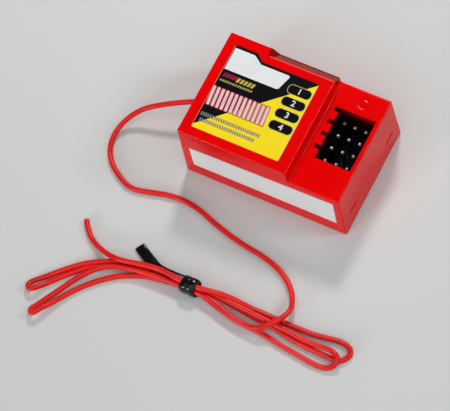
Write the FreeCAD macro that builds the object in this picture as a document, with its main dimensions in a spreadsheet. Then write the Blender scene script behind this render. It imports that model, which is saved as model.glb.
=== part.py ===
import FreeCAD, Part
import math
import os
import re

import Sketcher

# Small radio-control receiver: a two-part moulded case with a stepped lid, a keyed pin bay,
# a plug-in crystal at the back and a wire aerial tied in a hank.
# Frame: origin at the middle of the case bottom, +X towards the pin bay, +Y towards the crystal, +Z up.

os.makedirs("parts", exist_ok=True)
doc = FreeCAD.newDocument("receiver")
sheet = doc.addObject("Spreadsheet::Sheet", "Sizes")

sizes = {
    # case
    "case_length": 38.6, "case_width": 26.4, "tray_height": 4.6, "plateau_height": 18.8,
    "step_drop": 3.4, "draft": 1.75, "shell": 1.2, "roof": 1.2, "corner_round": 0.4,
    "rim_round": 0.35, "step_gap": 6.55, "step_lean": 0.2, "step_round": 0.4, "foot_round": 0.3,
    # finger notch over the crystal
    "notch_left": 9.0, "notch_run": 2.5, "notch_drop": 1.8, "notch_slope": 45.0,
    "notch_web": 1.0, "notch_backing": 0.7,
    # tray
    "tray_floor": 1.2, "tray_round": 0.5, "lip_wall": 0.5, "lip_height": 1.0, "lip_fit": 0.1,
    # snap latches, two at each end
    "latch_offset": 8.7, "latch_width": 2.6, "latch_low": 5.0, "latch_tall": 0.7,
    "latch_reach": 0.8, "latch_top": 6.4, "latch_fit": 0.15,
    # board and its posts
    "post_height": 1.8, "post_round": 2.4, "peg_round": 1.0, "peg_fit": 0.1, "peg_rise": 0.5,
    "post_inset_long": 1.1, "post_inset_wide": 1.5, "board_thick": 1.2, "board_gap": 0.25,
    "rib_offset": 5.0, "rib_thick": 1.0, "rib_reach": 1.6, "rib_gap": 0.1,
    # pin bay
    "header_inset": 5.85, "header_y": 0.85, "pin_pitch": 2.54, "row_pitch": 3.1, "bay_length": 8.3,
    "bay_width": 12.4, "bay_shift": 0.3, "guide_wall": 0.8, "guide_drop": 5.0, "key_depth": 1.25,
    "key_width": 1.05, "base_length": 9.92, "base_width": 12.0, "base_shift": 1.15,
    "base_tall": 2.6, "base_round": 0.5, "pin_side": 0.64, "pin_fit": 0.03, "pin_sink": 3.2,
    "pin_tail": 0.7, "pin_tip": 0.16, "tip_slope": 45.0, "pin_hole": 1.0,
    # crystal, its sleeve, socket and window
    "crystal_gap": 7.9, "crystal_drop": 6.3, "can_long": 11.05, "can_tall": 4.65, "can_deep": 13.0,
    "can_end_round": 2.1, "flange_lip": 0.3, "flange_thick": 0.6, "sleeve_wall": 0.7,
    "sleeve_fit": 0.1, "sleeve_deep": 11.0, "sleeve_inset": 0.8, "grip_tall": 1.2,
    "grip_deep": 0.4, "window_fit": 0.3, "crystal_pin": 1.0, "crystal_pin_long": 5.4,
    "crystal_pin_gap": 4.9, "socket_long": 9.4, "socket_deep": 5.0, "socket_cap": 2.5,
    "socket_gap": 0.4, "contact_wall": 0.25, "contact_fit": 0.04, "socket_edge": 0.4,
    # shielded coils
    "coil_side": 7.2, "coil_tall": 9.5, "coil_inset": 7.7, "coil_margin": 6.9, "small_side": 4.9,
    "small_tall": 6.5, "can_round": 0.6, "core_round": 2.8, "core_small": 2.2, "core_tall": 2.4,
    "core_fit": 0.1, "core_sunk": 0.2, "slot_wide": 0.5, "slot_deep": 0.9,
    # small parts on the board
    "ic_width": 3.9, "ic_thick": 1.5, "ic_stand": 0.15, "receiver_inset": 5.5,
    "receiver_long": 9.9, "decoder_y": 1.5, "decoder_long": 8.7, "lead_pitch": 1.27,
    "lead_wide": 0.42, "lead_thick": 0.2, "lead_reach": 1.0, "lead_foot": 0.55, "mark_round": 0.9,
    "mark_deep": 0.15, "filter_long": 6.5, "filter_wide": 2.6, "filter_tall": 4.0,
    "filter_inset": 3.8, "cap_round": 3.9, "cap_room": 8.4, "cap_shift": 2.25, "cap_inset": 4.6,
    "second_cap_shift": 8.05, "second_cap_inset": 4.3, "regulator_shift": 1.95,
    "regulator_inset": 5.0, "regulator_round": 1.7, "regulator_flat": 0.9, "regulator_tall": 4.0,
    "regulator_stand": 1.2, "leg_side": 0.4, "leg_pitch": 1.2, "chip_long": 2.0,
    "chip_wide": 1.25, "chip_tall": 0.55, "chip_pitch": 2.1, "chip_shift": 3.55,
    "chip_inset": 3.6, "block_tall": 0.9, "block_shift": 7.75, "block_y": 2.0,
    "block_pitch": 2.1, "switch_long": 2.9, "switch_wide": 1.3, "switch_tall": 1.0,
    "switch_shift": 5.85, "switch_inset": 3.9, "switch_pitch": 4.2,
    # labels
    "label_margin": 3.0, "label_gap": 2.7, "label_edge": 2.7, "label_low_margin": 4.5,
    "label_step": 11.1, "label_step_run": 1.8, "label_thick": 0.15, "label_round": 0.4,
    "band_margin": 2.6, "band_end": 1.9, "band_low": 4.85, "band_left_top": 12.3,
    "band_right_top": 13.6, "band_thick": 0.12,
    # gate marks left by moulding
    "ring_shift": 0.25, "ring_inset": 3.3, "ring_outer": 2.5, "ring_inner": 1.7, "ring_deep": 0.2,
    "dimple_x": -8.4, "dimple_inset": 3.55, "dimple_round": 1.0, "dimple_deep": 0.15,
    # aerial wire, its exit and its tie
    "wire_round": 1.2, "exit_hole": 1.6, "exit_height": 6.8, "root_inset": 2.9, "root_bend": 1.8,
    "hank_low": 1.9, "hank_ridge": 3.65, "hank_mound": 3.75, "tie_x": -5.4, "tie_y": -37.6,
    "tie_long": 4.4, "tie_wall": 0.5, "tie_round": 1.2, "waist_width": 2.7, "waist_tall": 3.15,
    "tie_gap": 0.05, "strip_width": 2.1, "strip_thick": 0.45,
}

# places and heights that follow from the sizes above
places = {
    "deck_height": "plateau_height - step_drop",
    "header_x": "case_length / 2 - header_inset",
    "step_head": "header_x - step_gap",
    "step_foot": "step_head + step_lean",
    "notch_front": "case_width / 2 - notch_run",
    "bay_x": "header_x + bay_shift",
    "pin_top": "deck_height - pin_sink",
    "crystal_x": "step_head - crystal_gap",
    "crystal_z": "plateau_height - crystal_drop",
    "sleeve_back": "case_width / 2 - sleeve_inset",
    "coil_x": "coil_inset - case_length / 2",
    "coil_spread": "case_width / 2 - coil_margin",
    "root_x": "case_length / 2 - root_inset",
    "receiver_y": "case_width / 2 - receiver_inset",
    "filter_y": "filter_inset - case_width / 2",
    "cap_tall": "deck_height - cap_room",
    "cap_x": "header_x - cap_shift",
    "cap_y": "cap_inset - case_width / 2",
    "second_cap_x": "header_x - second_cap_shift",
    "second_cap_y": "second_cap_inset - case_width / 2",
    "regulator_x": "header_x + regulator_shift",
    "regulator_y": "regulator_inset - case_width / 2",
    "chip_x": "header_x - chip_shift",
    "chip_y": "case_width / 2 - chip_inset",
    "block_x": "header_x - block_shift",
    "switch_x": "crystal_x - switch_shift",
    "switch_y": "switch_inset - case_width / 2",
    "label_left": "case_length / 2 - label_margin",
    "label_right": "step_head - label_gap",
    "label_front": "case_width / 2 - label_edge",
    "label_back": "case_width / 2 - label_margin",
    "label_low_back": "case_width / 2 - label_low_margin",
    "band_left": "case_length / 2 - band_margin",
    "band_right": "case_length / 2 - band_end",
    "ring_x": "header_x + ring_shift",
    "ring_y": "case_width / 2 - ring_inset",
    "dimple_y": "case_width / 2 - dimple_inset",
}

for row, name in enumerate([*sizes, *places], start=1):
    sheet.set(f"A{row}", name)
    sheet.set(f"B{row}", str(sizes[name]) if name in sizes else f"={places[name]}")
    sheet.setAlias(f"B{row}", name)
doc.recompute()

word = re.compile(r"[a-z_]+")
far = "case_length"
slope = "tan(draft)"
parting_length = f"(case_length - 2 * tray_height * {slope})"
parting_width = f"(case_width - 2 * tray_height * {slope})"
board_level = "(tray_floor + post_height)"
board_top = f"({board_level} + board_thick)"
tray_wall = "(shell + lip_fit + lip_wall)"
board_length = f"({parting_length} - 2 * {tray_wall} - 2 * board_gap)"
board_width = f"({parting_width} - 2 * {tray_wall} - 2 * board_gap)"
bay_left = "(bay_x - bay_length / 2)"
bay_back = "(header_y + bay_width / 2)"
sleeve_long = "(can_long + 2 * sleeve_fit + 2 * sleeve_wall)"
sleeve_tall = "(can_tall + 2 * sleeve_fit + 2 * sleeve_wall)"
can_back = "(sleeve_back - sleeve_wall)"
can_front = f"({can_back} - can_deep)"
socket_back = f"({can_front} - socket_gap)"


def size(name):
    """Value of one driving dimension, read from the sheet."""
    return float(sheet.get(name))


def bind(item, prop, expression):
    """Tie a property to the sheet: every word that is an alias is looked up there."""
    tied = word.sub(lambda m: f"Sizes.{m[0]}" if m[0] in sizes or m[0] in places else m[0], expression)
    item.setExpression(prop, tied)


def new_body(label, x="0", y="0", z="0"):
    body = doc.addObject("PartDesign::Body", label)
    body.AllowCompound = True
    for axis, expression in zip("xyz", (x, y, z)):
        bind(body, f"Placement.Base.{axis}", expression)
    return body


def origin_part(body, role):
    return next(item for item in body.Origin.OriginFeatures if item.Role == role)


def sketch(body, role, across="0", up="0", out="0"):
    """Sketch on one of the body's own planes, shifted in the plane and along its normal."""
    drawing = body.newObject("Sketcher::SketchObject", "Profile")
    drawing.AttachmentSupport = [(origin_part(body, role), "")]
    drawing.MapMode = "FlatFace"
    for axis, expression in zip("xyz", (across, up, out)):
        bind(drawing, f"AttachmentOffset.Base.{axis}", expression)
    return drawing


def pin_point(drawing, item, end, x=None, y=None):
    """Fix one end of a line or arc, or an arc's centre, at a place given by expressions."""
    now = drawing.getPoint(item, end)
    for kind, value, expression in (("DistanceX", now.x, x), ("DistanceY", now.y, y)):
        if expression:
            index = drawing.addConstraint(Sketcher.Constraint(kind, -1, 1, item, end, value))
            bind(drawing, f"Constraints[{index}]", expression)


def polygon(drawing, corners):
    """Closed outline of straight lines through corners given as pairs of expressions."""
    first = drawing.GeometryCount
    count = len(corners)
    for i in range(count):
        start = FreeCAD.Vector(math.cos(6.3 * i / count), math.sin(6.3 * i / count), 0)
        end = FreeCAD.Vector(math.cos(6.3 * (i + 1) / count), math.sin(6.3 * (i + 1) / count), 0)
        drawing.addGeometry(Part.LineSegment(start, end), False)
    for i in range(count):
        following = first + (i + 1) % count
        drawing.addConstraint(Sketcher.Constraint("Coincident", first + i, 2, following, 1))
    for i, (x, y) in enumerate(corners):
        pin_point(drawing, first + i, 1, x, y)


def rectangle(drawing, wide, tall, x="0", y="0"):
    left = f"({x}) - ({wide}) / 2"
    right = f"({x}) + ({wide}) / 2"
    low = f"({y}) - ({tall}) / 2"
    high = f"({y}) + ({tall}) / 2"
    polygon(drawing, [(left, low), (right, low), (right, high), (left, high)])


def circle(drawing, across, x="0", y="0"):
    """Circle of a given diameter, its centre fixed by two expressions."""
    ring = Part.Circle(FreeCAD.Vector(0, 0, 0), FreeCAD.Vector(0, 0, 1), 1.0)
    index = drawing.addGeometry(ring, False)
    pin_point(drawing, index, 3, x, y)
    number = drawing.addConstraint(Sketcher.Constraint("Diameter", index, 2.0))
    bind(drawing, f"Constraints[{number}]", across)


def pad(body, drawing, length, taper=None, midplane=False, reverse=False):
    feature = body.newObject("PartDesign::Pad", "Pad")
    feature.Profile = drawing
    feature.Midplane = midplane
    feature.Reversed = reverse
    bind(feature, "Length", length)
    if taper:
        bind(feature, "TaperAngle", taper)
    doc.recompute()
    return feature


def pocket(body, drawing, length, taper=None, midplane=False, reverse=False):
    """Cut, refused when it takes nothing away."""
    before = body.Shape.Volume
    feature = body.newObject("PartDesign::Pocket", "Pocket")
    feature.Profile = drawing
    feature.Midplane = midplane
    feature.Reversed = reverse
    bind(feature, "Length", length)
    if taper:
        bind(feature, "TaperAngle", taper)
    doc.recompute()
    if body.Shape.Volume >= before:
        raise RuntimeError(f"a cut in {body.Label} removes nothing")
    return feature


def edges_like(body, test):
    """Names of the tip's edges whose bounding box passes the test."""
    edges = enumerate(body.Shape.Edges, start=1)
    return [f"Edge{number}" for number, edge in edges if test(edge.BoundBox)]


def dress(body, kind, test, amount):
    """Fillet or chamfer on the edges that pass the test."""
    names = edges_like(body, test)
    if not names:
        raise RuntimeError(f"no edge of {body.Label} to {kind.lower()}")
    base = body.Tip
    feature = body.newObject(f"PartDesign::{kind}", kind)
    feature.Base = (base, names)
    bind(feature, "Radius" if kind == "Fillet" else "Size", amount)
    doc.recompute()
    return feature


def repeat(body, originals, rows):
    """Pattern of features: each row is an axis role, a count and a pitch, or a mirror plane role."""
    pattern = body.newObject("PartDesign::MultiTransform", "Pattern")
    steps = []
    for row in rows:
        if isinstance(row, str):
            step = body.newObject("PartDesign::Mirrored", "Mirror")
            step.MirrorPlane = (origin_part(body, row), [""])
        else:
            role, count, pitch = row
            step = body.newObject("PartDesign::LinearPattern", "Row")
            step.Direction = (origin_part(body, role), [""])
            step.Occurrences = count
            bind(step, "Length", f"{count - 1} * ({pitch})")
        steps.append(step)
    pattern.Originals = originals
    pattern.Transformations = steps
    body.Tip = pattern
    doc.recompute()
    return pattern


def near(value, target, slack=0.02):
    return abs(value - target) < slack


def top_cover():
    """Stepped lid: drafted shell with a finger notch, a keyed pin bay and a crystal window."""
    body = new_body("top_cover")
    outer = sketch(body, "XY_Plane", out="tray_height")
    rectangle(outer, parting_length, parting_width)
    pad(body, outer, "plateau_height - tray_height", taper="-draft")
    dress(body, "Fillet", lambda box: box.ZLength > 1, "corner_round")
    lower_the_deck(body)
    cut_finger_notch(body)
    hollow_the_cover(body)
    build_pin_bay(body)
    cut_windows(body)
    mark_gates(body)
    return body


def lower_the_deck(body):
    """Step down to the deck, with a large round at its head and a small one at its foot."""
    profile = sketch(body, "XZ_Plane")
    polygon(profile, [
        ("step_head", "plateau_height"), ("step_foot", "deck_height"),
        (far, "deck_height"), (far, "plateau_height + step_round"),
        ("step_head", "plateau_height + step_round")])
    pocket(body, profile, "2 * case_width", midplane=True)
    head, foot = size("step_head"), size("step_foot")
    high, low = size("plateau_height"), size("deck_height")
    dress(body, "Fillet", lambda box: near(box.XMin, head) and near(box.ZMin, high)
          and box.YLength > 1 and box.XLength < 0.01, "step_round")
    dress(body, "Fillet", lambda box: near(box.XMax, foot) and near(box.ZMax, low)
          and box.YLength > 1 and box.XLength < 0.01, "foot_round")
    dress(body, "Fillet", lambda box: near(box.ZMin, high) and near(box.ZMax, high)
          and box.XMin < 0 and box.XLength > 5, "rim_round")


def cut_finger_notch(body):
    """Sloping notch in the back top edge, so that a fingertip reaches the crystal."""
    plan = sketch(body, "XY_Plane", out="plateau_height")
    polygon(plan, [("-notch_left", "notch_front"), (far, "notch_front"),
                   (far, "case_width"), ("-notch_left", "case_width")])
    pocket(body, plan, "notch_drop", taper="-notch_slope")


def hollow_the_cover(body):
    """Cavity in three levels, so that the roof follows the deck, the notch and the plateau."""
    long = f"{parting_length} - 2 * shell"
    wide = f"{parting_width} - 2 * shell"
    whole = sketch(body, "XY_Plane", out="tray_height")
    rectangle(whole, long, wide)
    pocket(body, whole, "deck_height - roof - tray_height", taper="-draft", reverse=True)
    left = f"-({long}) / 2"
    right = "step_head - shell"
    back = f"({wide}) / 2"
    under_notch = sketch(body, "XY_Plane", out="tray_height")
    polygon(under_notch, [(left, f"-{back}"), (right, f"-{back}"), (right, back), (left, back)])
    pocket(body, under_notch, "plateau_height - notch_drop - notch_web - tray_height",
           taper="-draft", reverse=True)
    under_plateau = sketch(body, "XY_Plane", out="tray_height")
    edge = "notch_front - notch_backing"
    polygon(under_plateau, [(left, f"-{back}"), (right, f"-{back}"), (right, edge), (left, edge)])
    pocket(body, under_plateau, "plateau_height - roof - tray_height",
           taper="-draft", reverse=True)


def build_pin_bay(body):
    """Four side-by-side plug bays in one opening, each with a key slot, between two guide walls."""
    guides = sketch(body, "XY_Plane", out="deck_height - guide_drop")
    for side in ("+", "-"):
        rectangle(guides, "bay_length", "guide_wall", "bay_x",
                  f"header_y {side} (bay_width + guide_wall) / 2")
    pad(body, guides, "guide_drop - roof / 2")
    opening = sketch(body, "XY_Plane", out="deck_height")
    rectangle(opening, "bay_length", "bay_width", "bay_x", "header_y")
    pocket(body, opening, "roof + lip_fit")
    slot = sketch(body, "XY_Plane", out="deck_height")
    slot_left = f"{bay_left} - key_depth"
    slot_right = f"{bay_left} + key_depth / 2"
    slot_front = f"{bay_back} - 3 * row_pitch - key_width"
    slot_back = f"{bay_back} - 3 * row_pitch"
    polygon(slot, [(slot_left, slot_front), (slot_right, slot_front),
                   (slot_right, slot_back), (slot_left, slot_back)])
    key = pocket(body, slot, "roof + lip_fit")
    repeat(body, [key], [("Y_Axis", 4, "row_pitch")])


def cut_windows(body):
    """Crystal window, aerial hole, latch windows and the ribs that hold the board down."""
    window = sketch(body, "XZ_Plane", out=f"-({can_back} - shell)")
    rectangle(window, f"{sleeve_long} + 2 * window_fit", f"{sleeve_tall} + 2 * window_fit",
              "crystal_x", "crystal_z")
    pocket(body, window, "case_width")
    hole = sketch(body, "YZ_Plane", out=f"-({parting_length} / 2 - 2 * shell)")
    circle(hole, "exit_hole", "0", "exit_height")
    pocket(body, hole, "case_length")
    latch = sketch(body, "YZ_Plane")
    for side in ("", "-"):
        rectangle(latch, "latch_width + 2 * latch_fit", "latch_tall",
                  f"{side}latch_offset", "latch_low + latch_tall / 2")
    pocket(body, latch, "2 * case_length", midplane=True)
    add_ribs(body)


def add_ribs(body):
    """Two ribs on the antenna end wall that hold the board down, set back to clear the tray's lip."""
    inner = f"({parting_length} / 2 - shell)"
    tip = f"({inner} - rib_reach)"
    behind_lip = f"({inner} - 2 * lip_fit - lip_wall - rib_gap)"
    over_lip = "(tray_height + lip_height + rib_gap)"
    for root, level in ((behind_lip, f"({board_top} + rib_gap)"), (f"({inner} + shell / 2)", over_lip)):
        rib = sketch(body, "XY_Plane", out=level)
        for side in ("", "-"):
            rectangle(rib, f"{root} - {tip}", "rib_thick", f"-({root} + {tip}) / 2", f"{side}rib_offset")
        pad(body, rib, f"plateau_height - roof / 2 - {level}")


def mark_gates(body):
    """Ring on the deck and small dimple on the plateau where the mould was filled."""
    ring = sketch(body, "XY_Plane", out="deck_height")
    circle(ring, "ring_outer", "ring_x", "ring_y")
    circle(ring, "ring_inner", "ring_x", "ring_y")
    pocket(body, ring, "ring_deep")
    dimple = sketch(body, "XY_Plane", out="plateau_height")
    circle(dimple, "dimple_round", "dimple_x", "dimple_y")
    pocket(body, dimple, "dimple_deep")


def bottom_cover():
    """Tray with a lip, four board posts with pegs and four snap latches."""
    body = new_body("bottom_cover")
    outer = sketch(body, "XY_Plane")
    rectangle(outer, "case_length", "case_width")
    pad(body, outer, "tray_height", taper="-draft")
    dress(body, "Fillet", lambda box: box.ZLength > 1, "corner_round")
    dress(body, "Fillet", lambda box: box.ZMax < 0.01 and box.XLength + box.YLength > 9, "tray_round")
    inner_long = f"{parting_length} - 2 * {tray_wall}"
    inner_wide = f"{parting_width} - 2 * {tray_wall}"
    inside = sketch(body, "XY_Plane", out="tray_floor")
    rectangle(inside, inner_long, inner_wide)
    pocket(body, inside, "tray_height", reverse=True)
    lip = sketch(body, "XY_Plane", out="tray_height")
    rectangle(lip, f"{inner_long} + 2 * lip_wall", f"{inner_wide} + 2 * lip_wall")
    rectangle(lip, inner_long, inner_wide)
    pad(body, lip, "lip_height", taper="-draft")
    for across, level, rise in (("post_round", "tray_floor", "post_height"),
                                ("peg_round", board_level, "board_thick + peg_rise")):
        posts = sketch(body, "XY_Plane", out=level)
        for x, y in post_places():
            circle(posts, across, x, y)
        pad(body, posts, rise)
    add_latches(body)
    return body


def post_places():
    """Centres of the four board posts."""
    along = f"({board_length} / 2 - post_inset_long)"
    across = f"({board_width} / 2 - post_inset_wide)"
    return [(f"{a}{along}", f"{b}{across}") for a in ("", "-") for b in ("", "-")]


def add_latches(body):
    """Springy tabs on the end lips, each with a nose that stands in a window of the lid."""
    lip_out = f"({parting_length} / 2 - shell - lip_fit)"
    tab = sketch(body, "XY_Plane", out="tray_height")
    rectangle(tab, "lip_wall", "latch_width", f"{lip_out} - lip_wall / 2 - lip_fit", "latch_offset")
    tab_pad = pad(body, tab, "latch_top - tray_height")
    nose = sketch(body, "XY_Plane", out="latch_low + latch_fit")
    rectangle(nose, "latch_reach + lip_wall / 2", "latch_width - 2 * latch_fit",
              f"{lip_out} - lip_fit + latch_reach / 2 - lip_wall / 4", "latch_offset")
    nose_pad = pad(body, nose, "latch_tall - 2 * latch_fit")
    repeat(body, [tab_pad, nose_pad], ["XZ_Plane", "YZ_Plane"])


def top_label():
    """Thin label on the plateau, its back edge cut back past a step beside the finger notch."""
    body = new_body("top_label", z="plateau_height")
    outline = sketch(body, "XY_Plane")
    polygon(outline, [
        ("-label_left", "-label_front"), ("label_right", "-label_front"),
        ("label_right", "label_low_back"), ("-label_step + label_step_run", "label_low_back"),
        ("-label_step", "label_back"), ("-label_left", "label_back")])
    pad(body, outline, "label_thick")
    dress(body, "Fillet", lambda box: box.XLength + box.YLength < 0.001, "label_round")
    return body


def band_label():
    """Narrow label stuck a little askew on the leaning front wall."""
    body = new_body("band_label", y="-case_width / 2")
    body.Placement.Rotation = FreeCAD.Rotation(FreeCAD.Vector(1, 0, 0), -1.0)
    bind(body, "Placement.Rotation.Angle", "-draft")
    outline = sketch(body, "XZ_Plane")
    polygon(outline, [("-band_left", "band_low"), ("band_right", "band_low"),
                      ("band_right", "band_right_top"), ("-band_left", "band_left_top")])
    pad(body, outline, "band_thick")
    return body


def main_board():
    """Circuit board drilled for its pegs, the header pins and the aerial wire."""
    body = new_body("main_board", z=board_level)
    outline = sketch(body, "XY_Plane")
    rectangle(outline, board_length, board_width)
    for x, y in post_places():
        circle(outline, "peg_round + 2 * peg_fit", x, y)
    pad(body, outline, "board_thick")
    drill = sketch(body, "XY_Plane", out="board_thick")
    circle(drill, "pin_hole", "header_x - pin_pitch", "header_y - 1.5 * row_pitch")
    hole = pocket(body, drill, "2 * board_thick")
    repeat(body, [hole], [("X_Axis", 3, "pin_pitch"), ("Y_Axis", 4, "row_pitch")])
    return body


def header_base():
    """Black block that carries the pins, pierced once for each of them."""
    body = new_body("header_base", "header_x", "header_y", board_top)
    outline = sketch(body, "XY_Plane")
    rectangle(outline, "base_length", "base_width", "-base_shift", "0")
    pad(body, outline, "base_tall")
    dress(body, "Chamfer", lambda box: box.ZLength > 1, "base_round")
    drill = sketch(body, "XY_Plane", out="base_tall")
    rectangle(drill, "pin_side + 2 * pin_fit", "pin_side + 2 * pin_fit",
              "-pin_pitch", "-1.5 * row_pitch")
    hole = pocket(body, drill, "2 * base_tall")
    repeat(body, [hole], [("X_Axis", 3, "pin_pitch"), ("Y_Axis", 4, "row_pitch")])
    return body


def header_pins():
    """Twelve square pins with pointed ends, three to a row."""
    body = new_body("header_pins", "header_x", "header_y", f"{board_level} - pin_tail")
    tall = f"(pin_top - {board_level} + pin_tail)"
    section = sketch(body, "XY_Plane", out="pin_tip")
    rectangle(section, "pin_side", "pin_side", "-pin_pitch", "-1.5 * row_pitch")
    shank = pad(body, section, f"{tall} - 2 * pin_tip")
    parts = [shank]
    for level, flip in ((f"{tall} - pin_tip", False), ("pin_tip", True)):
        end = sketch(body, "XY_Plane", out=level)
        rectangle(end, "pin_side", "pin_side", "-pin_pitch", "-1.5 * row_pitch")
        parts.append(pad(body, end, "pin_tip", taper="-tip_slope", reverse=flip))
    repeat(body, parts, [("X_Axis", 3, "pin_pitch"), ("Y_Axis", 4, "row_pitch")])
    return body


def crystal_can():
    """Drawn metal can lying on its side, with a flange at its base."""
    body = new_body("crystal_can", "crystal_x", can_front, "crystal_z")
    section = sketch(body, "XZ_Plane")
    rectangle(section, "can_long", "can_tall")
    pad(body, section, "can_deep", reverse=True)
    dress(body, "Fillet", lambda box: box.YLength > 1, "can_end_round")
    end = size("sleeve_back") - size("sleeve_wall")
    dress(body, "Fillet", lambda box: near(box.YMin, end), "flange_thick")
    flange = sketch(body, "XZ_Plane")
    rectangle(flange, "can_long + 2 * flange_lip", "can_tall + 2 * flange_lip")
    pad(body, flange, "flange_thick", reverse=True)
    thick = size("flange_thick")
    dress(body, "Fillet", lambda box: near(box.YLength, thick) and box.XLength < 0.01,
          "can_end_round + flange_lip")
    return body


def crystal_sleeve():
    """Moulded grip over the outer end of the crystal, ribbed for a fingertip."""
    body = new_body("crystal_sleeve", "crystal_x", "sleeve_back", "crystal_z")
    section = sketch(body, "XZ_Plane")
    rectangle(section, sleeve_long, sleeve_tall)
    pad(body, section, "sleeve_deep")
    dress(body, "Fillet", lambda box: box.YLength > 5, "sleeve_wall")
    inside = sketch(body, "XZ_Plane", out="sleeve_wall")
    rectangle(inside, "can_long + 2 * sleeve_fit", "can_tall + 2 * sleeve_fit")
    pocket(body, inside, "sleeve_deep", reverse=True)
    half = size("can_tall") / 2 + size("sleeve_fit")
    middle = size("crystal_z")
    dress(body, "Fillet", lambda box: box.YLength > 5 and box.ZLength < 0.01
          and near(abs(box.ZMin - middle), half), "can_end_round")
    grip = sketch(body, "XZ_Plane")
    rectangle(grip, f"{sleeve_long} - 4 * sleeve_wall", "grip_tall", "0", "0")
    pocket(body, grip, "grip_deep", reverse=True)
    return body


def mirrored_rods(label, across, bore, start, length):
    """Pair of round pins or tubes along Y, one on each side of the crystal's middle."""
    body = new_body(label, "crystal_x", start, "crystal_z")
    section = sketch(body, "XZ_Plane")
    circle(section, across, "crystal_pin_gap / 2", "0")
    if bore:
        circle(section, bore, "crystal_pin_gap / 2", "0")
    rod = pad(body, section, length)
    repeat(body, [rod], ["YZ_Plane"])
    return body


def crystal_pins():
    return mirrored_rods("crystal_pins", "crystal_pin", None, can_front, "crystal_pin_long")


def crystal_contacts():
    """Sprung sleeves in the socket that the crystal's pins slide into."""
    bore = "crystal_pin + 2 * contact_fit"
    start = f"{socket_back} - contact_fit"
    return mirrored_rods("crystal_contacts", f"{bore} + 2 * contact_wall", bore, start,
                         "socket_deep - contact_wall")


def crystal_socket():
    """Upright block on the board with two bores for the crystal's contacts."""
    body = new_body("crystal_socket", "crystal_x", socket_back, board_top)
    outline = sketch(body, "XY_Plane")
    rectangle(outline, "socket_long", "socket_deep", "0", "-socket_deep / 2")
    pad(body, outline, f"crystal_z + socket_cap - {board_top}")
    high = size("crystal_z") + size("socket_cap")
    dress(body, "Chamfer", lambda box: near(box.ZMin, high), "socket_edge")
    bore = sketch(body, "XZ_Plane", out="0", up=f"crystal_z - {board_top}")
    for side in ("", "-"):
        circle(bore, "crystal_pin + 4 * contact_fit + 2 * contact_wall", f"{side}crystal_pin_gap / 2", "0")
    pocket(body, bore, "socket_deep", reverse=True)
    return body


def coil_can(label, x, y, side, tall, core):
    """Square shielding can with rounded edges and a well for its tuning core."""
    body = new_body(label, x, y, board_top)
    outline = sketch(body, "XY_Plane")
    rectangle(outline, side, side)
    pad(body, outline, tall)
    dress(body, "Fillet", lambda box: box.ZLength > 1, "can_round")
    well = sketch(body, "XY_Plane", out=tall)
    circle(well, f"{core} + 2 * core_fit")
    pocket(body, well, "core_tall + core_sunk")
    return body


def coil_core(label, x, y, tall, core):
    """Ferrite screw core, slotted for a trimming tool."""
    rod = doc.addObject("Part::Cylinder", f"{label}_rod")
    bind(rod, "Radius", f"{core} / 2")
    bind(rod, "Height", "core_tall")
    slot = doc.addObject("Part::Box", f"{label}_slot")
    bind(slot, "Length", f"{core}")
    bind(slot, "Width", "slot_wide")
    bind(slot, "Height", "slot_deep")
    bind(slot, "Placement.Base.x", f"-{core} / 2")
    bind(slot, "Placement.Base.y", "-slot_wide / 2")
    bind(slot, "Placement.Base.z", "core_tall - slot_deep")
    cut = doc.addObject("Part::Cut", label)
    cut.Base = rod
    cut.Tool = slot
    bind(cut, "Placement.Base.x", x)
    bind(cut, "Placement.Base.y", y)
    bind(cut, "Placement.Base.z", f"{board_top} + {tall} - core_tall - core_sunk")
    return cut


def coils():
    """Two large intermediate-frequency coils and the smaller aerial coil between them."""
    made = []
    for name, y, side, tall, core in (
            ("front_coil", "-coil_spread", "coil_side", "coil_tall", "core_round"),
            ("aerial_coil", "0", "small_side", "small_tall", "core_small"),
            ("back_coil", "coil_spread", "coil_side", "coil_tall", "core_round")):
        made.append(coil_can(f"{name}_can", "coil_x", y, side, tall, core))
        made.append(coil_core(f"{name}_core", "coil_x", y, tall, core))
    return made


def chip(label, long, y):
    """Moulded chip body with a round mark at its first pin."""
    body = new_body(label, "crystal_x", y, f"{board_top} + ic_stand")
    outline = sketch(body, "XY_Plane")
    rectangle(outline, long, "ic_width")
    pad(body, outline, "ic_thick")
    mark = sketch(body, "XY_Plane", out="ic_thick")
    circle(mark, "mark_round", f"-{long} / 2 + mark_round", "-ic_width / 2 + mark_round")
    pocket(body, mark, "mark_deep")
    return body


def chip_leads(label, count, y):
    """Gull-wing leads along both sides of a chip."""
    body = new_body(label, "crystal_x", y, board_top)
    inner = "ic_width / 2"
    knee = f"{inner} + lead_reach - lead_foot"
    toe = f"{inner} + lead_reach"
    high = "ic_stand + ic_thick / 2"
    start = f"-{count - 1} / 2 * lead_pitch - lead_wide / 2"
    profile = sketch(body, "YZ_Plane", out=start)
    polygon(profile, [
        (inner, high), (inner, f"{high} - lead_thick"), (f"{knee} - lead_thick", f"{high} - lead_thick"),
        (f"{knee} - lead_thick", "0"), (toe, "0"), (toe, "lead_thick"),
        (knee, "lead_thick"), (knee, high)])
    lead = pad(body, profile, "lead_wide")
    repeat(body, [lead], [("X_Axis", count, "lead_pitch"), "XZ_Plane"])
    return body


def ceramic_filter():
    body = new_body("ceramic_filter", "crystal_x", "filter_y", board_top)
    outline = sketch(body, "XY_Plane")
    rectangle(outline, "filter_long", "filter_wide")
    pad(body, outline, "filter_tall")
    dress(body, "Fillet", lambda box: box.ZLength > 1, "can_round")
    return body


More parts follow.
